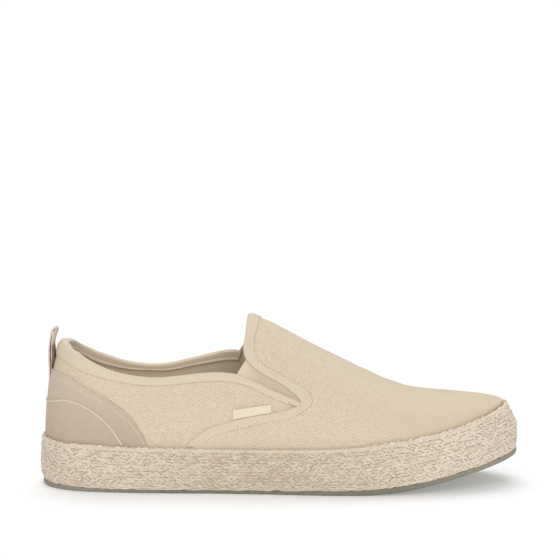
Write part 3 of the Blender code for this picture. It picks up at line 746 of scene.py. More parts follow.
# %% Elastic, tape, label and thread materials
def ribbed(name, light, dark, pitch, direction, bump_mm, painted_shading=None):
    """Cloth with ribs across the X or Y of its flat map. Its last colour, if given, is painted in where
    the weave attribute is low: painted shade on the webbing, the rim tape and the gore's backing, painted
    light on the elastic.
    """
    material, tree, shader = start_material(name, 0.85, sheen=0.08)
    cloth = add(tree, "UVMap", uv_map=CLOTH_MAP).outputs["UV"]
    bands = add(tree, "TexWave", {"Vector": cloth, "Scale": wave_scale(pitch), "Distortion": 0.6,
                                  "Detail": 1.0}, bands_direction=direction).outputs["Fac"]
    mottle = add(tree, "TexNoise", {"Vector": cloth, "Scale": noise_scale(4.0), "Detail": 3.0})
    ribs = add(tree, "Mix", {0: bands, 6: srgb(dark), 7: srgb(light)}, **RGBA)
    stains = add(tree, "MapRange", {0: mottle.outputs["Fac"], 1: 0.35, 2: 0.65, 4: 0.4})
    shade = add(tree, "Mix", {0: stains.outputs[0], 6: ribs.outputs[2], 7: srgb(dark)}, **RGBA)
    # painted light and painted shade: the given colour goes where the weave attribute is low
    if painted_shading:
        unpainted = add(tree, "Attribute", attribute_name=WEAVE).outputs["Fac"]
        shade = add(tree, "Mix", {0: unpainted, 6: srgb(painted_shading), 7: shade.outputs[2]}, **RGBA)
    set_surface(tree, shader, shade.outputs[2], bands, bump_mm)
    return material


# The elastic's last colour is painted light, lighter than its ribs, for its rear by the collar.
elastic = ribbed("knitted elastic, ribbed", "d1c1ac", "c4b39d", 0.9, "X", 0.08, "dbcdb2")
cotton_label = ribbed("cotton label tape, woven", "e9ddc4", "dfd2b8", 0.8, "X", 0.04)
# The webbing's last colour is painted shade, for the loop's faces that lie in the collar's shade.
webbing = ribbed("cotton webbing, woven", "ecdccc", "d6c3b2", 1.1, "Y", 0.12, "8d7a68")


def thread(name, colour):
    """Twisted cotton sewing thread: its lay shows as fine slanting bands."""
    material, tree, shader = start_material(name, 0.7, sheen=0.1)
    place = add(tree, "TexCoord").outputs["Object"]
    plies = add(tree, "TexWave", {"Vector": place, "Scale": wave_scale(0.5)},
                bands_direction="DIAGONAL")
    lit = add(tree, "MapRange", {0: plies.outputs["Fac"], 3: 0.6})
    tint = add(tree, "Mix", {0: lit.outputs[0], 6: (0.35, 0.3, 0.22, 1.0), 7: srgb(colour)}, **RGBA)
    set_surface(tree, shader, tint.outputs[2])
    return material


light_thread = thread("cotton thread, twisted", "e8dac4")
# A painted-shade copy of the light thread: its darker colour stands for the shade in the stitch holes and
# grooves.
painted_shade_thread = thread("cotton thread, painted shade of its stitch holes", "b9a88e")
cord_thread = thread("waxed cotton cord, twisted", "e2d2be")
print("elastic, tape and thread made")

# %% [markdown]
# ## Jute and rubber
# The sole's side is wrapped in braided jute, a coarse plant fibre. Each strand is a little lighter or
# darker than the next, and its fibres run along it, so its noise is stretched along the strand's own map.
# The outsole is a moulded sheet of dyed rubber: dull and a little uneven. Painted light makes it lighter
# towards the heel and the toe, against the contact shadow along its middle.

# %% Jute and rubber materials
STRAND_MAP = "strand"
jute, tree, shader = start_material("jute yarn, braided", 0.95, sheen=0.1)
yarn = add(tree, "UVMap", uv_map=STRAND_MAP).outputs["UV"]
tone = add(tree, "Attribute", attribute_name="tone").outputs["Fac"]
fibres = add(tree, "Mapping", {"Vector": yarn, "Scale": (0.18, 1.0, 1.0)})
streak = add(tree, "TexNoise", {"Vector": fibres.outputs[0], "Scale": noise_scale(0.5),
                                "Detail": 3.0}).outputs["Fac"]
straw = add(tree, "Mix", {0: tone, 6: srgb("cbbca8"), 7: srgb("eaddcd")}, **RGBA)
streaked = add(tree, "MapRange", {0: streak, 1: 0.35, 2: 0.65, 4: 0.3})
fibre = add(tree, "Mix", {0: streaked.outputs[0], 6: straw.outputs[2], 7: srgb("b3a18a")}, **RGBA)
set_surface(tree, shader, fibre.outputs[2], streak, 0.12)


def speckled(name, roughness, size, detail, dark, light):
    """The start of a plain stuff with noise of a size in mm; also returns its place, noise and mix."""
    material, tree, shader = start_material(name, roughness)
    place = add(tree, "TexCoord").outputs["Object"]
    noise = add(tree, "TexNoise", {"Vector": place, "Scale": noise_scale(size),
                                   "Detail": detail}).outputs["Fac"]
    mixed = add(tree, "Mix", {0: noise, 6: srgb(dark), 7: srgb(light)}, **RGBA).outputs[2]
    return material, tree, shader, place, noise, mixed


jute_base, tree, shader, place, dust, dusty = speckled(
    "jute core, glued", 0.95, 1.2, 4.0, "c0b19d", "d8cab6")
set_surface(tree, shader, dusty, dust, 0.3)
# The tape's last colour is painted shade, for the seam at the toe and the backing's cut edge.
rim_tape = ribbed("jute tape, woven", "dccfba", "d0c2ab", 1.2, "X", 0.05, "a08b76")

rubber, tree, shader, place, worn, dyed = speckled(
    "rubber sheet, moulded", 0.7, 3.0, 5.0, "706b5d", "8b8777")
length_of = add(tree, "SeparateXYZ", {0: place}).outputs["X"]
from_middle = add(tree, "Math", {0: length_of}, operation="ABSOLUTE").outputs[0]
# painted light: lighter towards the heel and the toe, against the contact shadow along the middle
to_ends = add(tree, "MapRange", {0: from_middle, 1: 0.07, 2: 0.135, 4: 0.6}).outputs[0]
painted_light_ends = add(tree, "Mix", {0: to_ends, 6: dyed, 7: srgb("a19b8c")}, **RGBA).outputs[2]
set_surface(tree, shader, painted_light_ends, worn, 0.2)
print("jute and rubber made")

# %% [markdown]
# ## Seam lines
# These are the edges that a pattern cutter draws on the last, seen from the side: the collar, its
# binding, the vamp's folded hem, the elastic gore, the heel patch and the small label. All sizes are in
# millimetres.

# %% Tables of the seams
TOPLINE = (
    # x, outer z, inner z
    (5, 88.7, 88.7), (13, 88.7, 88.7), (16.5, 87.4, 87.4), (18.7, 85.6, 86.2), (21.0, 84.5, 84.5),
    (23.4, 83.8, 82.6), (27.9, 80.9, 79.9), (33.3, 77.8, 77.2), (39.5, 74.9, 74.8),
    (51, 71.3, 71.1), (63.4, 69.2, 69.2), (75.8, 68.8, 69.3), (90.4, 70.3, 72.4),
    (105.9, 71.9, 76.1), (114, 72.0, 77.7), (120.5, 71.4, 77.9),
)
GORE_LOW_EDGE = (
    # x, outer z, inner z
    (120.5, 71.4, 77.9), (123.5, 70.5, 76.4), (127.6, 68.9, 73.2), (131.6, 67.4, 71.0),
    (136.0, 65.7, 68.5), (141.2, 63.1, 65.4), (147.8, 60.4, 61.8), (154.4, 57.7, 58.2),
    (160.4, 55.2, 56.0),
)
BINDING_LOW = (
    # x, outer z, inner z
    (5, 81.6, 81.6), (12.4, 80.6, 80.2), (17.2, 78.2, 77.4), (23, 74.9, 73.8),
    (29.3, 72.4, 71.2), (38.6, 69.6, 68.0), (50.9, 66.9, 65.6), (63.7, 65.1, 64.2),
    (75.8, 64.8, 64.4), (87.3, 65.8, 66.4), (99.4, 67.2, 69.4), (112.1, 67.9, 72.0),
    (122.0, 66.9, 71.4), (127.5, 65.3, 69.2), (132.7, 63.4, 66.8), (138.0, 60.7, 63.7),
    (143.6, 58.4, 60.9), (151.4, 55.0, 56.5), (157.4, 53.6, 54.3),
)
HEM = (
    # edge x, edge z, front x, front z, inner lift: over the ridge, down the throat, along the
    # gore, round its tip and back down to the sole's rim
    (129.2, 105.0, 135.6, 102.4, 0.0), (128.6, 103.4, 135.2, 101.0, 0.1),
    (127.6, 99.6, 134.4, 98.2, 0.5), (126.7, 93.9, 133.2, 94.0, 1.5),
    (125.7, 88.5, 132.3, 89.4, 3.0), (126.0, 83.6, 132.6, 85.4, 4.2),
    (128.1, 79.8, 134.0, 82.0, 4.6), (131.5, 76.2, 136.0, 79.2, 4.4),
    (135.7, 73.3, 139.0, 76.6, 3.9), (140.2, 70.8, 143.4, 74.3, 3.3),
    (144.8, 68.5, 148.0, 72.1, 2.7), (149.3, 65.9, 152.8, 69.6, 2.1),
    (153.8, 62.8, 157.8, 66.9, 1.6), (157.2, 60.1, 162.3, 64.3, 1.2),
    (159.4, 57.9, 165.8, 61.4, 0.9), (160.3, 56.0, 167.4, 58.2, 0.8),
    (159.9, 54.7, 167.4, 55.2, 0.7), (157.8, 53.6, 164.4, 51.9, 0.6),
    (153.8, 51.9, 159.0, 48.4, 0.5), (148.4, 50.3, 151.2, 45.5, 0.3),
    (141.0, 48.9, 142.6, 43.6, 0.1), (130.0, 46.8, 131.6, 41.3, 0.0),
    (121.0, 44.8, 123.2, 39.1, 0.0), (112.7, 42.4, 115.7, 37.3, 0.0),
    (106.6, 40.2, 110.4, 35.7, 0.0), (102.0, 37.9, 107.0, 33.8, 0.0),
    (98.0, 35.2, 103.8, 31.8, 0.0), (94.2, 32.0, 101.2, 29.9, 0.0),
    (91.0, 28.9, 98.9, 28.2, 0.0),
)
GORE = (
    # low x, low z, high x, high z, inner lift of the low edge, of the high edge
    (121.4, 71.6, 127.9, 81.6, 5.3, 4.3), (125.0, 70.2, 131.0, 78.6, 5.1, 4.0),
    (130.4, 68.3, 135.4, 75.0, 4.4, 3.6), (136.6, 65.8, 140.8, 71.6, 3.6, 2.8),
    (142.4, 63.2, 145.8, 68.6, 2.7, 2.1), (148.4, 60.8, 150.8, 65.2, 1.9, 1.6),
    (153.0, 58.8, 154.8, 62.4, 1.5, 1.4),
)
GORE_BACKING = (
    # the same columns for the tape behind it, which reaches lower and ends before the tip
    (121.2, 67.5, 126.6, 80.4, 5.3, 5.2), (125.0, 66.0, 131.0, 78.0, 5.1, 4.6),
    (130.4, 64.2, 135.4, 74.6, 4.4, 4.0), (136.6, 61.8, 140.8, 71.2, 3.6, 3.2),
    (142.4, 59.6, 145.8, 68.2, 2.7, 2.4), (148.4, 57.4, 150.8, 65.0, 1.9, 1.7),
)
COUNTER_EDGE = (
    # x, z
    (4.0, 71.3), (8.8, 71.2), (15.8, 70.2), (23.0, 67.6), (26.8, 65.0), (36.2, 60.6),
    (46.0, 54.9), (56.7, 46.7), (61.8, 40.1), (66.1, 32.4), (67.0, 30.6),
)
COUNTER_CORD = (
    # x, z
    (3.0, 50.9), (9.0, 52.6), (17.1, 54.6), (22.4, 54.0), (28.4, 52.0), (33.1, 49.4),
    (39.5, 44.8), (43.9, 40.5), (47.6, 35.9), (52.0, 29.0),
)
LABEL = (
    # x, bottom z, top z
    (119.4, 45.1, 50.9), (127.0, 46.6, 52.2), (135.0, 48.2, 53.4), (142.5, 49.5, 54.4),
)
LOOP_LINE = (
    # x, z along the middle of the webbing, and how far its two edges lie ahead of the middle: up
    # over the heel patch and the outer strand, over the top, down the inner strand
    (5.7, 59.5, 0.4), (5.8, 62.8, 0.4), (6.0, 66.5, 0.4), (6.0, 70.5, 0.4), (5.9, 74.0, 0.4),
    (5.85, 78.0, 0.4), (5.9, 82.0, 0.4), (6.3, 87.0, 0.4), (6.8, 90.3, 0.4), (7.5, 93.4, 0.4),
    (8.6, 95.4, 0.2), (9.9, 96.3, -0.2), (11.1, 96.2, -0.7), (11.4, 95.2, -1.5), (10.8, 93.5, -2.4),
    (10.2, 92.0, -2.1), (9.7, 90.3, -1.7), (9.2, 87.2, -1.6), (9.35, 84.2, -1.8),
    (9.6, 81.0, -2.0), (9.6, 78.0, -2.0), (9.3, 76.0, -1.9), (8.6, 74.0, -1.4), (8.1, 72.3, -0.9),
    (7.9, 70.0, -0.5), (7.7, 68.4, 0.0),
)
print(len(HEM), "rows for the hem,", len(TOPLINE), "for the collar,", len(LOOP_LINE), "for the loop")

# %% [markdown]
# ## Flat cloth coordinates
# A weave has to keep its size on a curved shoe. Every point of the upper gets two lengths: how far it
# lies round the shoe, and how far up its rib. Cloth laid that way wraps the instep as real canvas does,
# so that the twill runs steeper at the throat than on the heel.

# %% Cloth coordinates
ROUND_ANGLES = np.arange(-240.0, 421.0, 1.0)
ROUND_RISE = 0.3             # where the way round the shoe is measured
round_reach = line_reach(last_place(ROUND_ANGLES, ROUND_RISE))
round_reach -= np.interp(0.0, ROUND_ANGLES, round_reach)
RIB_STEP = 4.0               # degrees
RIB_ANGLES = np.arange(-180.0, 181.0, RIB_STEP)
RIB_RISES = np.linspace(0.0, 1.0, 81)
rib_reach = arc_up(last_place(RIB_ANGLES[None, :], RIB_RISES[:, None]))


def cloth_place(angle, rise):
    """Lengths in mm round the shoe and up the rib."""
    angle, rise = np.broadcast_arrays(angle, rise)
    turned = (angle + 180.0) % 360.0 / RIB_STEP
    i = np.clip(turned.astype(int), 0, len(RIB_ANGLES) - 2)
    u = turned - i
    row = np.clip(rise, 0.0, 1.0) * (len(RIB_RISES) - 1)
    j = np.clip(row.astype(int), 0, len(RIB_RISES) - 2)
    v = row - j
    low = rib_reach[j, i] * (1.0 - u) + rib_reach[j, i + 1] * u
    high = rib_reach[j + 1, i] * (1.0 - u) + rib_reach[j + 1, i + 1] * u
    up = low * (1.0 - v) + high * v + RIM_DROP * np.minimum(rise, 0.0)
    return np.stack([np.interp(angle, ROUND_ANGLES, round_reach), up], -1)


def fair(rows, count, chord=None):
    """Evenly spaced points on a fair line through rows of numbers."""
    rows = np.asarray(rows, float)
    chord = rows if chord is None else chord
    reach = line_reach(chord)
    table = np.column_stack([reach, rows])
    stations = np.linspace(0.0, reach[-1], count)
    return np.stack([table_curve(table, k + 1)(stations) for k in range(rows.shape[1])], -1)


INNER_AHEAD = 1.5            # mm that a line stands further ahead on the inner side of the throat


def table_line(side, rows, first=0, raised=4):
    """Angle and rise of points whose x and z are two columns; a third lifts the inner ones."""
    x = np.array([row[first] for row in rows])
    z = np.array([row[first + 1] for row in rows])
    if side == INNER_SIDE:
        x = x + INNER_AHEAD * smooth_step(z, 82.0, 88.0) * (1.0 - smooth_step(z, 99.0, 105.5))
        z = z + np.array([row[raised] for row in rows])
    return side_place(side, x, z)


def hem_lines(side, count):
    """The hem's free edge and its stitched front edge, as angle and rise, ridge first."""
    edge = np.stack(table_line(side, HEM), -1)
    front = np.stack(table_line(side, HEM, 2), -1)
    edge[0] = side * half_angle(HEM[0][0]), 1.0
    front[0] = side * half_angle(HEM[0][2]), 1.0
    both = fair(np.column_stack([edge, front]), count, last_place(edge[:, 0], edge[:, 1]))
    both[:, 1::2] = np.clip(both[:, 1::2], 0.0, 1.0)
    return both[:, :2], both[:, 2:]


CORNER_X = TOPLINE[-1][0]
GORE_TIP_X = GORE_LOW_EDGE[-1][0]


def collar_rise(angle):
    """The rise of the quarters' free edge on each rib: the collar, then the gore's lower edge."""
    rises = []
    for side, column in ((OUTER_SIDE, 1), (INNER_SIDE, 2)):
        collar = table_curve(TOPLINE, column)
        gore = table_curve(GORE_LOW_EDGE, column)
        rises.append(edge_rise(angle, lambda x: np.where(x < CORNER_X, collar(x), gore(x))))
    return np.where(angle < 0.0, rises[1], rises[0])


def binding_rise(angle):
    """The rise of the collar binding's lower edge on each rib."""
    rises = [edge_rise(angle, table_curve(BINDING_LOW, column)) for column in (1, 2)]
    return np.where(angle < 0.0, rises[1], rises[0])


UNDER_HEM = 1.5              # mm that the quarters go on under the vamp's hem
corner_half = float(half_angle(CORNER_X))
tip_half = float(half_angle(GORE_TIP_X + UNDER_HEM))
ahead = np.linspace(corner_half, tip_half, 45)[1:]
behind = np.linspace(0.0, corner_half, 96)
one_side = np.concatenate([behind, ahead])
COLLAR_ANGLES = np.concatenate([-one_side[:0:-1], one_side])
collar_top = collar_rise(COLLAR_ANGLES)
print(len(COLLAR_ANGLES), "ribs round the collar")

# %% [markdown]
# ## Quarters
# The quarters are the two back panels, here one piece of canvas round the heel. Cloth could be simulated
# over the last, but it is cut and glued so tight that it simply follows it. A grid whose ribs stand on
# the sole's rim and end at the collar gives its shape, and Solidify the thickness of the cloth. Faint
# waves keep it from looking like sheet metal, and the label's two ends pull small hollows.

# %% Quarters
CANVAS_THICK = 0.8
LINING_OUT = -1.1            # mm: the lining's outer face lies inside the last's surface
LINING_THICK = 0.9
FOOT_RISE = -0.12            # how far canvas goes down behind the sole's rim


def turned(cloth, degrees):
    """Flat cloth turned under the pattern, as a panel is cut askew to the grain."""
    c = math.cos(math.radians(degrees))
    s = math.sin(math.radians(degrees))
    return cloth @ np.array([[c, s], [-s, c]])


def panel(name, angle, rise, out, thickness, material, slot, nodes=(), weld=False, weave=1.0,
          askew=0.0):
    """A cloth panel on the last, with its flat map and its thickness."""
    angle, rise = np.broadcast_arrays(angle, rise)
    sheet = bent_grid(name, last_point(angle, rise, np.broadcast_to(out, rise.shape)),
                      turned(cloth_place(angle, rise), askew), weld, weave)
    return dress(thicken(sheet, thickness), material, slot, *nodes)


shares = spread(60)[:, None]
quarter_rise = FOOT_RISE + shares * (collar_top - FOOT_RISE)
quarter_angle = np.broadcast_to(COLLAR_ANGLES, quarter_rise.shape)
quarter_out = -0.1 + 0.12 * np.sin(np.radians(quarter_angle) * 9.0) * np.sin(shares * math.pi)
quarter_flat = last_place(quarter_angle, quarter_rise)
DIMPLES = (
    # x, z, radius along and up, depth of the hollows that the label's two ends pull in the cloth
    (117.4, 47.6, 2.6, 2.6, 0.55), (144.4, 51.0, 1.8, 2.4, 0.6), (150.5, 52.0, 3.0, 2.0, 0.25),
)
for x, z, wide, high, deep in DIMPLES:
    away = ((quarter_flat[..., 0] - x) / wide) ** 2 + ((quarter_flat[..., 2] - z) / high) ** 2
    quarter_out -= deep * np.exp(-away) * (quarter_angle > 0.0)
panel("quarter_canvas", quarter_angle, quarter_rise, quarter_out, CANVAS_THICK,
      twill_canvas, "canvas_twill", ("upper",))
panel("quarter_lining", quarter_angle[:, ::2], quarter_rise[:, ::2], LINING_OUT, LINING_THICK,
      lining_canvas, "canvas_twill")

# %% [markdown]
# ## Vamp
# The vamp covers the front of the foot from side to side. It could be two mirrored halves, but a shoe's
# two sides differ. So its ribs fan round the toe from one hem to the other. Each row keeps one rise, so
# that the halves meet along the ridge and are welded there. The cloth lifts slightly where it lies over
# the quarter, a few soft troughs mark where the foot bends, and the weave fades towards the toe, where it
# is pulled smooth.

# %% Vamp
VAMP_ROWS = 84
VAMP_ASKEW = 18.0            # degrees that the vamp is cut steeper than the quarters
VAMP_COLUMNS = 210
MIDDLE_RIB = 105.0           # degrees: the rib along which the vamp's rows are evenly spaced
up_middle = arc_up(last_place(np.full((len(RIB_RISES), 1), MIDDLE_RIB), RIB_RISES[:, None]))[:, 0]
rib_beside = int((MIDDLE_RIB - RIB_ANGLES[0]) // RIB_STEP)
even_rise = np.interp(spread(VAMP_ROWS), up_middle / rib_reach[-1, rib_beside], RIB_RISES)
vamp_rows = np.concatenate([[FOOT_RISE, FOOT_RISE / 2.0], even_rise])
vamp_rows[-1] = 1.0


def back_angle(side, rises):
    """The angle at which each row of the vamp ends, under the middle of its hem."""
    edge, front = hem_lines(side, 160)
    middle = (edge + front) / 2.0
    order = np.argsort(middle[:, 1])
    return np.interp(rises, middle[order, 1], middle[order, 0])


outer_back = back_angle(OUTER_SIDE, vamp_rows)
inner_back = 360.0 + back_angle(INNER_SIDE, vamp_rows)
inner_back[-1] = 360.0 - outer_back[-1]
share = spread(VAMP_COLUMNS)
vamp_angle = outer_back[:, None] + share * (inner_back - outer_back)[:, None]
vamp_rise = np.broadcast_to(vamp_rows[:, None], vamp_angle.shape)
vamp_flat = last_place(vamp_angle, vamp_rise)
from_back = arc_along(vamp_flat)
from_back = np.minimum(from_back, from_back[:, -1:] - from_back)


FOLDS = (
    # x, how far it leans forward by the way out, width, depth
    (196.0, 0.10, 5.0, 0.35), (209.0, 0.16, 4.0, 0.3), (221.0, 0.22, 4.5, 0.22),
)


def flex_folds(point):
    """Soft troughs over the ball of the foot, in mm."""
    x, y, z = (point[..., k] for k in range(3))
    folds = np.zeros_like(x)
    for middle, lean, width, depth in FOLDS:
        here = x - middle - lean * np.abs(y) + 0.12 * (z - 50.0)
        folds -= depth * np.exp(-(here / width) ** 2) * smooth_step(z, 42.0, 58.0)
    return folds


def throat_drop(point):
    """How far the canvas sinks at the throat's peak, where the fold is rolled in, in mm."""
    x, z = point[..., 0], point[..., 2]
    return (1.0 - smooth_step(x, 133.0, 148.0)) * smooth_step(z, 96.0, 104.5)


near_ridge = smooth_step(vamp_rise, 0.8, 1.0)
vamp_out = (0.1 + (0.5 - 0.35 * near_ridge) * (1.0 - smooth_step(from_back, 3.0, 22.0))
            + flex_folds(vamp_flat) - throat_drop(vamp_flat))
to_toe = smooth_step(vamp_flat[..., 0], 175.0, 245.0)
# painted shade: on the toe's upper face the weave share is lowered a little, which darkens the cloth there
# against the light from above
toe_top_painted_shade = smooth_step(vamp_flat[..., 2] + 0.45 * vamp_flat[..., 0], 150.0, 170.0)
vamp_weave = 0.4 + 0.6 * (1.0 - to_toe) * (1.0 - 0.05 * toe_top_painted_shade)
panel("vamp_canvas", vamp_angle, vamp_rise, vamp_out, CANVAS_THICK,
      twill_canvas, "canvas_twill", weld=True, weave=vamp_weave, askew=VAMP_ASKEW)
panel("vamp_lining", vamp_angle[:, ::2], vamp_rise[:, ::2], LINING_OUT, LINING_THICK,
      lining_canvas, "canvas_twill", weld=True)

# %% [markdown]
# ## Strips with rounded edges
# A folded strip or a patch of leather isn't a flat sticker: its edge rolls down to the cloth. A bevel
# would round only its corner. Here a strip is drawn through a table of its cross-section, and a patch is
# a grid whose outermost rows drop to a foot below the surface, and whose next rows round the edge.

# %% Patch helper
def section(table, count):
    """Shares and heights along a cross-section table, with its corners kept."""
    table = np.asarray(table, float)
    index = np.linspace(0.0, len(table) - 1.0, count)
    return (np.interp(index, np.arange(len(table)), table[:, k]) for k in (0, 1))


def patch(name, angle, rise, out, cloth, material, slot, nodes=(), foot=-0.3, wall=0.25):
    """A raised patch on the last whose four edges go down to a foot."""
    angle, rise = (np.pad(grid, 1, mode="edge") for grid in (angle, rise))
    cloth = np.pad(cloth, ((1, 1), (1, 1), (0, 0)), mode="edge")
    out = np.pad(out, 1, constant_values=foot)
    sheet = bent_grid(name, last_point(angle, rise, out), cloth)
    return dress(thicken(sheet, wall), material, slot, *nodes)


def between(first, last, shares):
    """Angle and rise grids between two lines; rows go from the first line to the last."""
    grid = first[None] + np.asarray(shares)[:, None, None] * (last - first)[None]
    return grid[..., 0], np.clip(grid[..., 1], 0.0, 1.0)


# %% [markdown]
# ## Vamp hem
# The vamp's back edge is turned over and sewn down twice. It runs over the instep, down the throat, along
# the gore, round the gore's tip and back to the sole. One cross-section is swept along that whole way,
# since real hems are one folded strip too: it comes up inside, goes round the free edge and down to the
# cloth. Two rows of stitches press shallow grooves into it, and the pull of the thread puckers it.

# %% Vamp hem
HEM_SECTION = (
    # share of the width, height: up from the inside, round the fold, over to the front
    (0.72, -1.2), (0.70, -2.1), (0.55, -2.3), (0.30, -2.3), (0.12, -2.2), (0.03, -1.7),
    (-0.02, -1.0), (-0.03, -0.4), (-0.03, 0.2), (-0.01, 0.8), (0.05, 1.2), (0.15, 1.38),
    (0.30, 1.4), (0.44, 1.38), (0.54, 1.3), (0.58, 1.14), (0.62, 1.28), (0.70, 1.36),
    (0.78, 1.34), (0.86, 1.2), (0.91, 0.95), (0.94, 0.72), (0.97, 0.74), (1.0, 0.7),
    (1.03, 0.45), (1.05, 0.0),
)
HEM_POINTS = 260
PUCKER = 0.17                # mm
STRIP_WALL = 0.2             # mm of cloth that gives a strip its inner face


def seam_press(point):
    """The share of the hem's height that is left where it is pressed into the side seam."""
    x, z = point[..., 0], point[..., 2]
    return 1.0 - 0.5 * smooth_step(45.0 - z + 0.12 * (150.0 - x), -9.0, 1.0)


halves = []
for side in (INNER_SIDE, OUTER_SIDE):
    edge, front = hem_lines(side, HEM_POINTS)
    halves.append((edge[:0:-1], front[:0:-1]) if side == INNER_SIDE else (edge, front))
hem_edge = np.concatenate([halves[0][0], halves[1][0]])
hem_front = np.concatenate([halves[0][1], halves[1][1]])
hem_share, hem_out = section(HEM_SECTION, 60)
hem_angle, hem_rise = between(hem_edge, hem_front, hem_share)
hem_flat = last_place(hem_angle, hem_rise)
hem_reach = arc_along(hem_flat)
rolled = 1.0 + 0.9 * (1.0 - smooth_step(hem_share, 0.0, 0.5))[:, None]
waves = np.sin(hem_reach / 0.62 + 2.0 * np.sin(hem_reach / 9.0)) * np.sin(hem_reach / 4.1)
sewn = smooth_step(hem_share, 0.15, 0.5) * (1.0 - smooth_step(hem_share, 0.9, 1.0))
puckered = (hem_out > 0.0) * sewn
below_peak = 1.0 - smooth_step(hem_flat[..., 2], 97.0, 102.0)
hem_lift = (hem_out[:, None] * seam_press(hem_flat) - throat_drop(hem_flat) * rolled
            + PUCKER * waves * puckered[:, None] * below_peak)
strip = strip_sheet("hem_strip", last_point(hem_angle, hem_rise, hem_lift))
dress(thicken(strip, STRIP_WALL), smooth_canvas, "canvas_twill", "vamp_hem")

STITCH_PITCH = 2.3
STITCH = (1.7, 0.55, 0.4)    # length, width, height
HEM_ROWS = (
    # name, share of the hem's width, height, thread
    ("hem_stitches_inner", 0.58, 1.15, light_thread),
    ("hem_stitches_outer", 0.95, 0.72, painted_shade_thread),
)
for name, share, high, thread_used in HEM_ROWS:
    line = hem_edge + share * (hem_front - hem_edge)
    sewn_at = last_place(line[:, 0], line[:, 1])
    sew(name, line[:, 0], line[:, 1], high * seam_press(sewn_at) - throat_drop(sewn_at),
        STITCH_PITCH, STITCH, thread_used, "canvas_twill")

TACK_STITCH = (1.3, 0.6, 0.5)
BAR_TACK = ((152.8, 55.6), (154.2, 54.7), (155.7, 53.9), (157.2, 53.0))
tack = fair(BAR_TACK, 12)
for side, name in ((OUTER_SIDE, "bar_tack_outer"), (INNER_SIDE, "bar_tack_inner")):
    angle, rise = side_place(side, tack[:, 0], tack[:, 1])
    sew(name, angle, rise, 1.15, 1.25, TACK_STITCH, painted_shade_thread, "canvas_twill")

# %% [markdown]
# ## Collar binding
# A strip of canvas is folded over the quarters' free edge to keep it from fraying, and inside it goes on
# as the facing, whose lower edge is rolled. The section is an upside down U, swept along the collar and
# on along the gore's lower edge. A bevelled edge would be quicker, but only a section gives the fold its
# fullness and lets it lean in round the heel. Strip and facing meet on the fold's crest and have their
# own cloths.

# %% Collar binding
binding_low = binding_rise(COLLAR_ANGLES)
OUTSIDE = (
    # share of the binding's width, mm out from the last's surface
    (0.06, -0.2), (0.0, 0.1), (-0.01, 0.6), (0.05, 0.85), (0.2, 0.95), (0.5, 1.0), (0.8, 1.05),
    (1.0, 1.1),
)
HEEL_LEAN = 1.5              # mm that the fold leans in round the heel
FOLD_HIGH = 1.1
FOLD_CREST = 1.4             # radians round the fold at which the facing's cloth begins
WALL_THICK = 2.9             # mm from the last's surface to the collar's inner face
rows = []
inner_rows = []
shares_out, heights_out = section(OUTSIDE, 18)
at_heel = 1.0 - smooth_step(np.abs(COLLAR_ANGLES), 9.0, 34.0)
for share, height in zip(shares_out, heights_out):
    rise = binding_low + share * (collar_top - binding_low)
    lean = HEEL_LEAN * at_heel * smooth_step(share, 0.45, 1.1) ** 2
    rows.append(last_point(COLLAR_ANGLES, rise, height - lean))
top_point, _, up_way, top_normal = last_frame(COLLAR_ANGLES, collar_top)
reach_up = np.linalg.norm(up_way, axis=-1)
up = unit(up_way)
wall_inside = WALL_THICK + 2.4 * at_heel
fold_half = ((wall_inside + OUTSIDE[-1][1] - HEEL_LEAN * at_heel) / 2.0)[:, None]
fold_high = (FOLD_HIGH - 0.3 * at_heel)[:, None]
fold_middle = top_point + top_normal * (fold_half - wall_inside[:, None])
for turn in np.linspace(0.0, math.pi, 13)[1:-1]:
    row = (fold_middle + top_normal * fold_half * math.cos(turn)
           + up * fold_high * math.sin(turn))
    (rows if turn < FOLD_CREST else inner_rows).append(row)
INSIDE = (
    # how far down, height over the collar's inner face
    (0.0, 0.0), (1.2, 0.0), (2.4, 0.15), (2.9, 0.3), (3.2, -0.2), (3.6, -0.7), (4.2, -0.7),
    (4.6, -0.2), (4.6, 0.4), (4.2, 1.0),
)
FACING_DEEP = (
    # x, depth of the facing against its usual depth
    (20.0, 1.05), (43.5, 1.08), (49.6, 0.9), (58.8, 0.72), (68.0, 0.58), (80.0, 0.75),
    (92.6, 0.8), (105.0, 1.0), (118.0, 1.15),
)
facing_deep = table_curve(FACING_DEEP, 1)(last_place(COLLAR_ANGLES, collar_top)[:, 0])
for down, height in INSIDE:
    rise = np.clip(collar_top - down * facing_deep / reach_up, 0.0, 1.0)
    inner_rows.append(last_point(COLLAR_ANGLES, rise, height - wall_inside))
INTO_WALL = -1.9             # the facing's last row ends inside the wall
inner_rows.append(last_point(COLLAR_ANGLES, rise, np.full(rise.shape, INTO_WALL)))
rows.append(inner_rows[0])
for name, part, material, nodes in (("collar_strip", rows, smooth_canvas, ("collar_binding",)),
                                    ("collar_facing", inner_rows, facing_canvas, ())):
    strip = strip_sheet(name, np.stack(part))
    dress(thicken(strip, STRIP_WALL), material, "canvas_twill", *nodes)
sew("collar_stitches", COLLAR_ANGLES, binding_low + 0.02 * (collar_top - binding_low), 0.45,
    STITCH_PITCH, STITCH, painted_shade_thread, "canvas_twill")

# %% [markdown]
# ## Elastic gores
# Between collar and vamp a wedge of elastic lets the foot in. It is sewn under both edges, so its grid
# goes on a little way beneath them; cutting it exactly along the seams would leave slits. Behind it lies
# a backing of tape, which shows in the throat. Elastic and backing are the same wedge drawn through two
# tables.

# %% Gores
GORE_POINTS = 40
GORE_OUT = -0.45             # mm: the elastic lies a little under the canvas
GORE_THICK = 1.1
BACKING_OUT = -3.3
BACKING_THICK = 0.5
PAST_TIP = 8                 # points that the elastic goes on under the hem


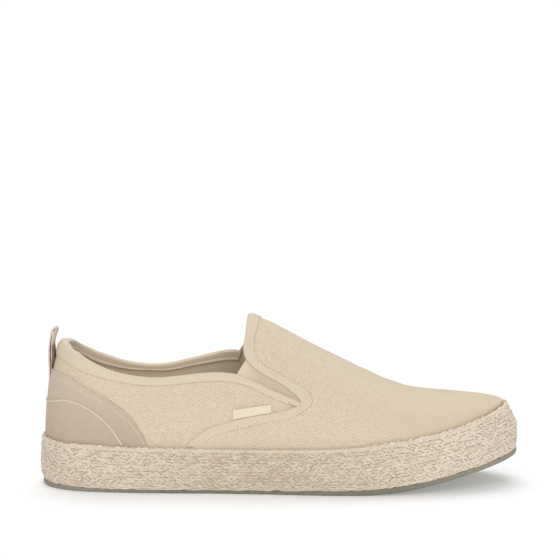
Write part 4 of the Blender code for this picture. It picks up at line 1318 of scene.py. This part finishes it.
def wedge_edges(side, rows):
    """The two long edges of a wedge, as angle and rise, from the collar to the tip."""
    low = np.stack(table_line(side, rows), -1)
    high = np.stack(table_line(side, rows, 2, 5), -1)
    both = fair(np.column_stack([low, high]), GORE_POINTS, last_place(low[:, 0], low[:, 1]))
    return both[:, :2], both[:, 2:]


def carried_on(line):
    """A line that goes straight on past its end."""
    beyond = np.arange(1, PAST_TIP + 1)[:, None]
    return np.concatenate([line, line[-1] + beyond * (line[-1] - line[-2])])


for side, name, node in ((OUTER_SIDE, "gore_outer", "gore_lateral"),
                         (INNER_SIDE, "gore_inner", "gore_medial")):
    lower, higher = (carried_on(line)[::side] for line in wedge_edges(side, GORE))
    angle, rise = between(lower, higher, np.linspace(-0.25, 1.18, 24))
    # painted light: 0 by the collar, where the elastic takes its lighter painted colour, 1 forward under
    # the hem
    gore_unpainted = smooth_step(last_place(angle, rise)[..., 0], 123.0, 138.0)
    sheet = strip_sheet(name, last_point(angle, rise, np.full(angle.shape, GORE_OUT)), gore_unpainted)
    dress(thicken(sheet, GORE_THICK), elastic, "gore_elastic", node)
    lower, higher = (line[::side] for line in wedge_edges(side, GORE_BACKING))
    angle, rise = between(lower, higher, spread(16))
    # painted shade: the backing's first columns, at its cut edge by the collar, take the tape's dark
    # painted colour
    from_cut = np.arange(GORE_POINTS)[::side]
    unpainted = np.broadcast_to(smooth_step(from_cut, 0.5, 2.5), angle.shape)
    sheet = strip_sheet(name + "_backing", last_point(angle, rise, np.full(angle.shape, BACKING_OUT)),
                        unpainted)
    dress(thicken(sheet, BACKING_THICK), rim_tape, "canvas_twill")

# %% [markdown]
# ## Heel patch
# A suede patch stiffens the heel. A twisted cord draws a curve across it, and a row of stitches follows
# its edge. It could be cut from the quarters' own mesh, but then both would share one face. So it is a
# second layer on the same surface, with an edge that rolls down to the canvas.

# %% Heel patch
edge_x = fair(COUNTER_EDGE, 70)[:, 0]
edge_x = np.concatenate([np.linspace(0.0, edge_x[0], 8)[:-1], edge_x])
half = half_angle(edge_x)
half[-1] = half_angle(COUNTER_EDGE[-1][0])
patch_angles = np.concatenate([-half[:0:-1], half])
patch_edge = edge_rise(patch_angles, table_curve(COUNTER_EDGE, 1))
patch_low = rise_at(patch_angles, rim_top(along(patch_angles)) - 1.5)
patch_low = np.where(patch_low < 0.002, -0.03, patch_low)      # it goes down behind the rim
patch_edge = np.maximum(patch_edge, patch_low + 0.004)
shares = np.concatenate([np.linspace(0.0, 0.9, 30), np.linspace(0.92, 1.0, 8)])[:, None]
rise = patch_low + shares * (patch_edge - patch_low)
angle = np.broadcast_to(patch_angles, rise.shape)
flat = last_place(angle, rise)
to_edge = arc_up(flat)[-1:] - arc_up(flat)
out = 0.25 + 0.65 * np.sqrt(smooth_step(to_edge, -0.2, 1.0))
patch("heel_suede", angle, rise, out, cloth_place(angle, rise), suede, "counter_suede",
      ("heel_counter",))

cord_x, cord_z = fair(COUNTER_CORD, 90).T
outer_cord, inner_cord = (np.stack(side_place(side, cord_x, cord_z))
                          for side in (OUTER_SIDE, INNER_SIDE))
cord_angle, cord_rise = np.concatenate([inner_cord[:, ::-1], outer_cord], 1)
CORD_TURN = (2.6, 1.5, 1.3)  # mm: length, width and height of a bead, one for each turn of the twist
sew("heel_cord", cord_angle, cord_rise, 1.1, 1.2, CORD_TURN, cord_thread, "counter_suede")
HEEL_SEAM = 4.0              # mm from the patch's edge to its stitches
up_reach = np.linalg.norm(last_frame(patch_angles, patch_edge)[2], axis=-1)
line = patch_edge - HEEL_SEAM / up_reach
keep = line > patch_low
sew("heel_stitches", patch_angles[keep], line[keep], 0.9, STITCH_PITCH, STITCH, light_thread,
    "counter_suede")

# %% [markdown]
# ## Label
# A short folded tape is caught in the side seam, and is left bare. It could be a flat card, but tape has
# soft edges: it is a patch between two fair lines, whose outermost rows and ends lie a little lower.

# %% Label
LABEL_POINTS = 60
LABEL_OUT = 1.5              # mm
line = fair(LABEL, LABEL_POINTS)
bottom = np.stack(side_place(OUTER_SIDE, line[:, 0], line[:, 1]), -1)
top = np.stack(side_place(OUTER_SIDE, line[:, 0], line[:, 2]), -1)
shares = np.concatenate([[0.0, 0.03, 0.08], np.linspace(0.15, 0.85, 10), [0.92, 0.97, 1.0]])
angle, rise = between(bottom, top, shares)
out = np.full(angle.shape, LABEL_OUT)
out[[0, -1]] -= 0.35
out[[1, -2]] -= 0.1
out[:, [0, -1]] -= 0.3
out[:, [1, -2]] -= 0.1
patch("label_tape", angle, rise, out, cloth_place(angle, rise), cotton_label, "label_cotton",
      ("label_tab",))

# %% [markdown]
# ## Pull loop
# A folded webbing at the heel's back helps to pull the shoe on. A curve with a bevel could sweep it too,
# but here its edges lie a little ahead of its middle or behind it, and the faces where shade falls inside
# the loop get painted shade, which need points of their own. So a flat rounded section is swept along the
# loop's line, and its two ends are filled.

# %% Pull loop
LOOP_WIDTH = 11.0
LOOP_THICK = 1.05
LOOP_POINTS = 110
loop = fair(LOOP_LINE, LOOP_POINTS, np.array(LOOP_LINE)[:, :2])
way = unit(np.gradient(loop[:, :2], axis=0))
side_way = np.stack([-way[:, 1], way[:, 0]], -1)
turn = np.linspace(0.0, 2.0 * math.pi, 24, endpoint=False)
flat_y = np.sign(np.cos(turn)) * np.abs(np.cos(turn)) ** 0.35 * LOOP_WIDTH / 2.0
flat_n = np.sign(np.sin(turn)) * np.abs(np.sin(turn)) ** 0.7 * LOOP_THICK / 2.0
bow = loop[:, 2:] * (2.0 * flat_y / LOOP_WIDTH) ** 2
rings = np.stack([
    loop[:, None, 0] + side_way[:, None, 0] * flat_n + bow,
    np.broadcast_to(flat_y, (LOOP_POINTS, len(turn))),
    loop[:, None, 1] + side_way[:, None, 1] * flat_n], -1)
rings = np.concatenate([rings, rings[:, :1]], 1)
downward = np.arange(LOOP_POINTS)[:, None] > 0.5 * LOOP_POINTS
on_face = np.abs(flat_y) < 0.497 * LOOP_WIDTH
ahead_face = (flat_n > 0.0) & on_face
back_face = (flat_n < 0.0) & on_face
# painted shade: the inner strand low down and, more weakly, the outer strand's inner face, where shade
# falls inside the loop
loop_painted_shade = (downward * ahead_face * (1.0 - smooth_step(loop[:, 1:2], 84.0, 89.0))
           + (~downward) * back_face * 0.4 * (1.0 - smooth_step(loop[:, 1:2], 91.0, 95.0)))
unpainted = 1.0 - np.concatenate([loop_painted_shade, loop_painted_shade[:, :1]], 1)
cloth = np.stack(np.broadcast_arrays(np.append(flat_y, flat_y[0]),
                                     np.arange(LOOP_POINTS)[:, None] * 0.6), -1)
piece = bent_grid("pull_webbing", rings, cloth, weld=True, weave=unpainted)
bm = bmesh.new()
bm.from_mesh(piece.data)
bmesh.ops.holes_fill(bm, edges=[edge for edge in bm.edges if edge.is_boundary])
bmesh.ops.recalc_face_normals(bm, faces=bm.faces[:])
bm.to_mesh(piece.data)
bm.free()
dress(piece, webbing, "loop_webbing", "pull_loop")

# %% [markdown]
# ## Sole core
# Under the jute lies a core with a raised rim that holds the upper, and a tape covers the rim. A box
# could be cut to shape, but its sides wouldn't follow the foot. So walls are rings round the outline, and
# decks are grids from the outer side straight across to the inner side; both are welded into one closed
# body.

# %% Closed bodies round the outline
RING_COUNT = 240             # points on each side of the outline
RING_ANGLES = np.linspace(0.0, 360.0, 2 * RING_COUNT + 1)


def ring(inset, z):
    """One ring of points round the sole."""
    x, y, _, _ = outline(RING_ANGLES, inset)
    return np.stack([x, y, np.broadcast_to(z, x.shape)], -1)


def deck(edge, rows, lift=0.0):
    """Points straight across from the outer to the inner side of a ring."""
    outer = edge[:RING_COUNT + 1]
    inner = edge[:RING_COUNT - 1:-1]
    across = spread(rows)[:, None, None]
    points = outer + across * (inner - outer)
    points[..., 2] += lift * (4.0 * across * (1.0 - across))[..., 0]
    return points


def ring_body(name, rings, rows=3, lift=0.0):
    """A closed body through rings, with a deck on its first and its last ring."""
    walls = bent_grid(name, np.stack(rings))
    caps = [bent_grid(name + "_cap", deck(rings[0], rows)),
            bent_grid(name + "_cap", deck(rings[-1], rows, lift))]
    bm = bmesh.new()
    for part in (walls, *caps):
        bm.from_mesh(part.data)
        if part is not walls:
            bpy.data.objects.remove(part)
    bmesh.ops.remove_doubles(bm, verts=bm.verts[:], dist=WELD)
    bmesh.ops.recalc_face_normals(bm, faces=bm.faces[:])
    bm.to_mesh(walls.data)
    bm.free()
    return walls


# %% Sole core
ring_x = along(RING_ANGLES)
EDGE_LIFT = (
    # x, how far the outsole's rim stands up at the yarn's lower edge, over its usual height
    (0.0, 0.8), (13.0, 0.5), (50.0, -0.35), (90.0, -0.35), (130.0, -0.35), (160.0, 0.1),
    (190.0, 0.7), (221.0, 1.15), (246.0, 1.0), (274.0, 0.9), (295.0, 0.9),
)
edge_lift = table_curve(EDGE_LIFT, 1)
ring_base = ground(ring_x) + OUTSOLE_THICK + GAP + edge_lift(ring_x)


def band_top(x):
    """Height of the wrapped rim, which the last row of yarn pulls a little below the solid's."""
    heel_swell = 0.5 * np.exp(-((x - 33.0) / 14.0) ** 2)
    return rim_top(x) - 0.5 - 0.6 * smooth_step(x, 150.0, 230.0) + heel_swell


def rope_inset(x, height):
    """How far the rope wall lies inside the outline at a height from 0, bottom, to 1, top."""
    low = hem_taper(x) * np.clip(1.0 - height / LOWER_SHARE, 0.0, None) ** 2
    high = rim_lean(x) * np.clip((height - LEAN_START) / (1.0 - LEAN_START), 0.0, None) ** 2
    tuck = 1.5 * smooth_step(height, 0.5, 0.9) * smooth_step(x, 262.0, 290.0)
    return low + high + tuck


ring_rim = band_top(ring_x)
CORE_INSET = 1.05
rings = []
for height in np.linspace(0.0, 0.97, 20):
    rings.append(ring(rope_inset(ring_x, height) + CORE_INSET,
                      ring_base + (ring_rim - ring_base) * height))
wall_inset = foot_inset(ring_x) - GAP
rim_out = rope_inset(ring_x, 1.0) + 0.3
middle = (rim_out + wall_inset) / 2.0
half_wide = (wall_inset - rope_inset(ring_x, 1.0) - 0.3) / 2.0
RIM_ROLL = 1.1               # mm from the tape's crest down to where its roll begins
CORE_ROLL = 0.9              # the same for the core under it
TAPE_OUT = 0.25
roll = [ring(rope_inset(ring_x, 0.93) + 0.55, ring_rim - 2.0 * RIM_ROLL)]
for turn in np.linspace(0.0, math.pi, 11):
    rings.append(ring(middle - half_wide * math.cos(turn),
                      ring_rim - RIM_ROLL + CORE_ROLL * math.sin(turn)))
    roll.append(ring(middle - (half_wide + TAPE_OUT) * math.cos(turn),
                     ring_rim - RIM_ROLL + RIM_ROLL * math.sin(turn)))
rings.append(ring(wall_inset, ground(ring_x) + footbed(ring_x)))
dress(ring_body("sole_core", rings), jute_base, "jute_braid", "midsole")
# painted shade: the inner rows of the tape's roll at the toe are darker, in the shade of the seam between
# upper and band
seam_painted_shade = smooth_step(np.arange(len(roll)), 7.0, 10.0)[:, None] * smooth_step(ring_x, 190.0, 260.0)
tape = strip_sheet("rim_tape", np.stack(roll), 1.0 - seam_painted_shade)
dress(thicken(tape, STRIP_WALL), rim_tape, "jute_braid")

# %% [markdown]
# ## Jute braid
# Twelve rows of slanting strands go round the sole, each row leaning the other way than the next, like a
# knitted band. Two rows of long, nearly level strands close it below, and shorter stretches of strands
# close it above. A relief could stand in for them, but the band's edge would stay too clean. So every
# strand is a small bead, and differs a little in lean, length and tone, by a seeded random draw.

# %% Jute strands
rng = np.random.default_rng(7)
ROWS = 12
LOW_ROW, HIGH_ROW = 0.11, 0.925
STRAND = (4.1, 1.58, 1.05)   # length, width, depth
STRAND_LEAN = 28.0           # degrees
EDGE_STRAND = (7.0, 1.5, 1.0)
STRAND_INSET = 0.8
EDGE_PITCH = 4.4
ALL_ROUND = (0.0, 300.0)
band_rows = [
    # height from 0 to 1, lean, pitch in mm, size, spread of the draws, how much lighter, x range
    (0.01, 3.0, EDGE_PITCH, EDGE_STRAND, 0.5, 0.12, ALL_ROUND),
    (0.055, -4.0, EDGE_PITCH, EDGE_STRAND, 0.5, 0.12, ALL_ROUND)]
for row in range(ROWS):
    height = LOW_ROW + (HIGH_ROW - LOW_ROW) * row / (ROWS - 1)
    lean = STRAND_LEAN * (1 if row % 2 else -1)
    band_rows.append((height, lean, 1.75, STRAND, 1.0, 0.0, ALL_ROUND))
band_rows.append((0.972, 2.0, EDGE_PITCH, EDGE_STRAND, 0.3, 0.10, (95.0, 200.0)))
band_rows.append((0.98, 20.0, 2.2, STRAND, 1.0, 0.15, (0.0, 95.0)))
band_rows.append((0.985, 24.0, 2.2, STRAND, 1.0, 0.10, (200.0, 300.0)))
fine = np.linspace(0.0, 360.0, 1441)
fine_x = along(fine)


def band_line(level):
    """The line round the sole on which a row of strands lies."""
    inset = rope_inset(fine_x, level) + STRAND_INSET
    bx, by, _, _ = outline(fine, inset)
    base = ground(fine_x) + OUTSOLE_THICK + GAP + edge_lift(fine_x)
    return np.stack([bx, by, base + (band_top(fine_x) - base) * level], -1)


centres, ways, normals, sizes, tones = [], [], [], [], []
for height, slant, pitch, size, loose, lighter, (first_x, last_x) in band_rows:
    line = band_line(height)
    above = band_line(min(height + 0.07, 1.0))
    below = band_line(max(height - 0.07, 0.0))
    reach = line_reach(line)
    count = int(round(reach[-1] / pitch))
    stations = (np.arange(count) + rng.uniform(-0.3, 0.3, count) * loose) % count
    stations = stations * reach[-1] / count
    station_x = np.interp(stations, reach, line[:, 0])
    stations = stations[(station_x > first_x) & (station_x < last_x)]
    count = len(stations)
    here = read_line(line, reach, stations)
    tangent = unit(read_line(np.gradient(line, axis=0), reach, stations))
    upward = unit(read_line(above, reach, stations) - read_line(below, reach, stations))
    face = unit(np.cross(tangent, upward))
    lean = np.radians(slant + rng.normal(0.0, 12.0, count) * loose)
    centres.append(here + upward * rng.normal(0.0, 0.3, (count, 1)) * loose
                   + face * rng.normal(0.0, 0.16, (count, 1)) * loose)
    ways.append(tangent * np.cos(lean)[:, None] + upward * np.sin(lean)[:, None])
    normals.append(face)
    sizes.append(np.array(size) * (1.0 + rng.uniform(-0.25, 0.25, (count, 3)) * loose))
    # besides their random tone, strands are lighter towards the toe and the heel and darker along the
    # middle of the side
    strand_tone_along = (0.52 + lighter + 0.36 * smooth_step(here[:, 0], 180.0, 270.0)
                + 0.16 * (1.0 - smooth_step(here[:, 0], 40.0, 110.0))
                - 0.22 * np.exp(-((here[:, 0] - 140.0) / 50.0) ** 2))
    tones.append(np.clip(rng.normal(strand_tone_along, 0.2), 0.0, 1.0))
centres, ways, normals, sizes, tones = map(np.concatenate, (centres, ways, normals, sizes, tones))
print(len(centres), "strands in", len(band_rows), "rows")


def mark_strands(piece, own, sizes, tones):
    """Gives each strand its tone and a map that runs along its fibres."""
    count, corners = own.shape[:2]
    tone = piece.data.attributes.new("tone", "FLOAT", "POINT")
    tone.data.foreach_set("value", np.repeat(tones, corners))
    flat = own[..., :2] * sizes[:, None, :2] + 40.0 * np.arange(count)[:, None, None]
    layer = piece.data.uv_layers.new(name=STRAND_MAP)
    index = np.zeros(len(piece.data.loops), int)
    piece.data.loops.foreach_get("vertex_index", index)
    layer.data.foreach_set("uv", (flat.reshape(-1, 2)[index] * MM).reshape(-1))


strand_parts = {"jute_strands_low": centres[:, 2] < np.median(centres[:, 2])}
strand_parts["jute_strands_high"] = ~strand_parts["jute_strands_low"]
for name, part in strand_parts.items():
    strands, own = lay(name, centres[part], ways[part], normals[part], sizes[part], 6, 5)
    mark_strands(strands, own, sizes[part], tones[part])
    dress(strands, jute, "jute_braid", sharp=180.0)

# %% [markdown]
# ## Outsole and insole
# The outsole is a thin moulded rubber sheet with a rim and rows of small studs. The insole is a padded
# cloth-covered board that dips a little in the middle. Both are flat things with the sole's outline, so
# both are closed bodies through rings, and the studs are one bead laid many times.

# %% Outsole
taper = hem_taper(ring_x)
floor_z = ground(ring_x)
rings = [ring(taper + 7.0, floor_z + 1.0), ring(taper + 6.5, floor_z + 0.1),
         ring(taper + 6.0, floor_z), ring(taper + 0.9, floor_z), ring(taper + 0.3, floor_z + 0.25),
         ring(taper, floor_z + 0.8), ring(taper - 0.1, floor_z + 1.6),
         ring(taper + 0.1, floor_z + OUTSOLE_THICK + edge_lift(ring_x))]
dress(ring_body("outsole_sheet", rings), rubber, "outsole_rubber", "outsole")

STUD = (4.6, 2.2, 2.2)       # mm across the sole, along it, and high; about half of it stands out
STUD_ROWS = np.arange(16.0, 279.0, 5.0)
STUD_PITCH = 6.0             # mm across, every other row moved by half of it
STUD_MARGIN = 9.5            # mm that the studs' middles keep inside the sheet's sides
studs = []
for k, x in enumerate(STUD_ROWS):
    reach = float(half_angle(x))
    low, high = (float(outline(np.array(a), float(hem_taper(x)) + STUD_MARGIN)[1])
                 for a in (reach, -reach))
    for y in np.arange(-60.0 + STUD_PITCH / 2.0 * (k % 2), 60.0, STUD_PITCH):
        if low < y < high:
            studs.append((x, y, float(ground(x)) + STUD[2] / 2.0))
studs = np.array(studs)
slope = ground(studs[:, 0] + 0.5) - ground(studs[:, 0] - 0.5)
zero = np.zeros(len(studs))
forward = np.stack([np.ones(len(studs)), zero, slope], -1)
down = np.stack([slope, zero, -np.ones(len(studs))], -1)
sideways = np.tile([0.0, 1.0, 0.0], (len(studs), 1))
piece, _ = lay("outsole_studs", studs, sideways, down, STUD, 8, 5)
dress(piece, rubber, "outsole_rubber")

# %% Insole
BOARD_GAP = 0.6              # mm between the upper's wall and the board
BOARD_SIDE = 1.6
BOARD_ROUND = 1.2
inset = foot_inset(ring_x) + WALL + BOARD_GAP
low = ground(ring_x) + footbed(ring_x) + GAP
rings = [ring(inset, low), ring(inset, low + BOARD_SIDE)]
for turn in np.linspace(0.0, math.pi / 2.0, 6)[1:]:
    rings.append(ring(inset + BOARD_ROUND * (1.0 - math.cos(turn)),
                      low + BOARD_SIDE + BOARD_ROUND * math.sin(turn)))
dress(ring_body("insole_board", rings, 24, -0.9), lining_canvas, "insole_cloth", "insole")

# %% [markdown]
# ## Triangle count
# The dressed shoe keeps the imported model's size, apart from the little that cloth stands proud. The last
# line prints how many triangles the pieces have.

# %% Triangle count
print(sum(made.values()), "triangles in", len(made), "pieces")
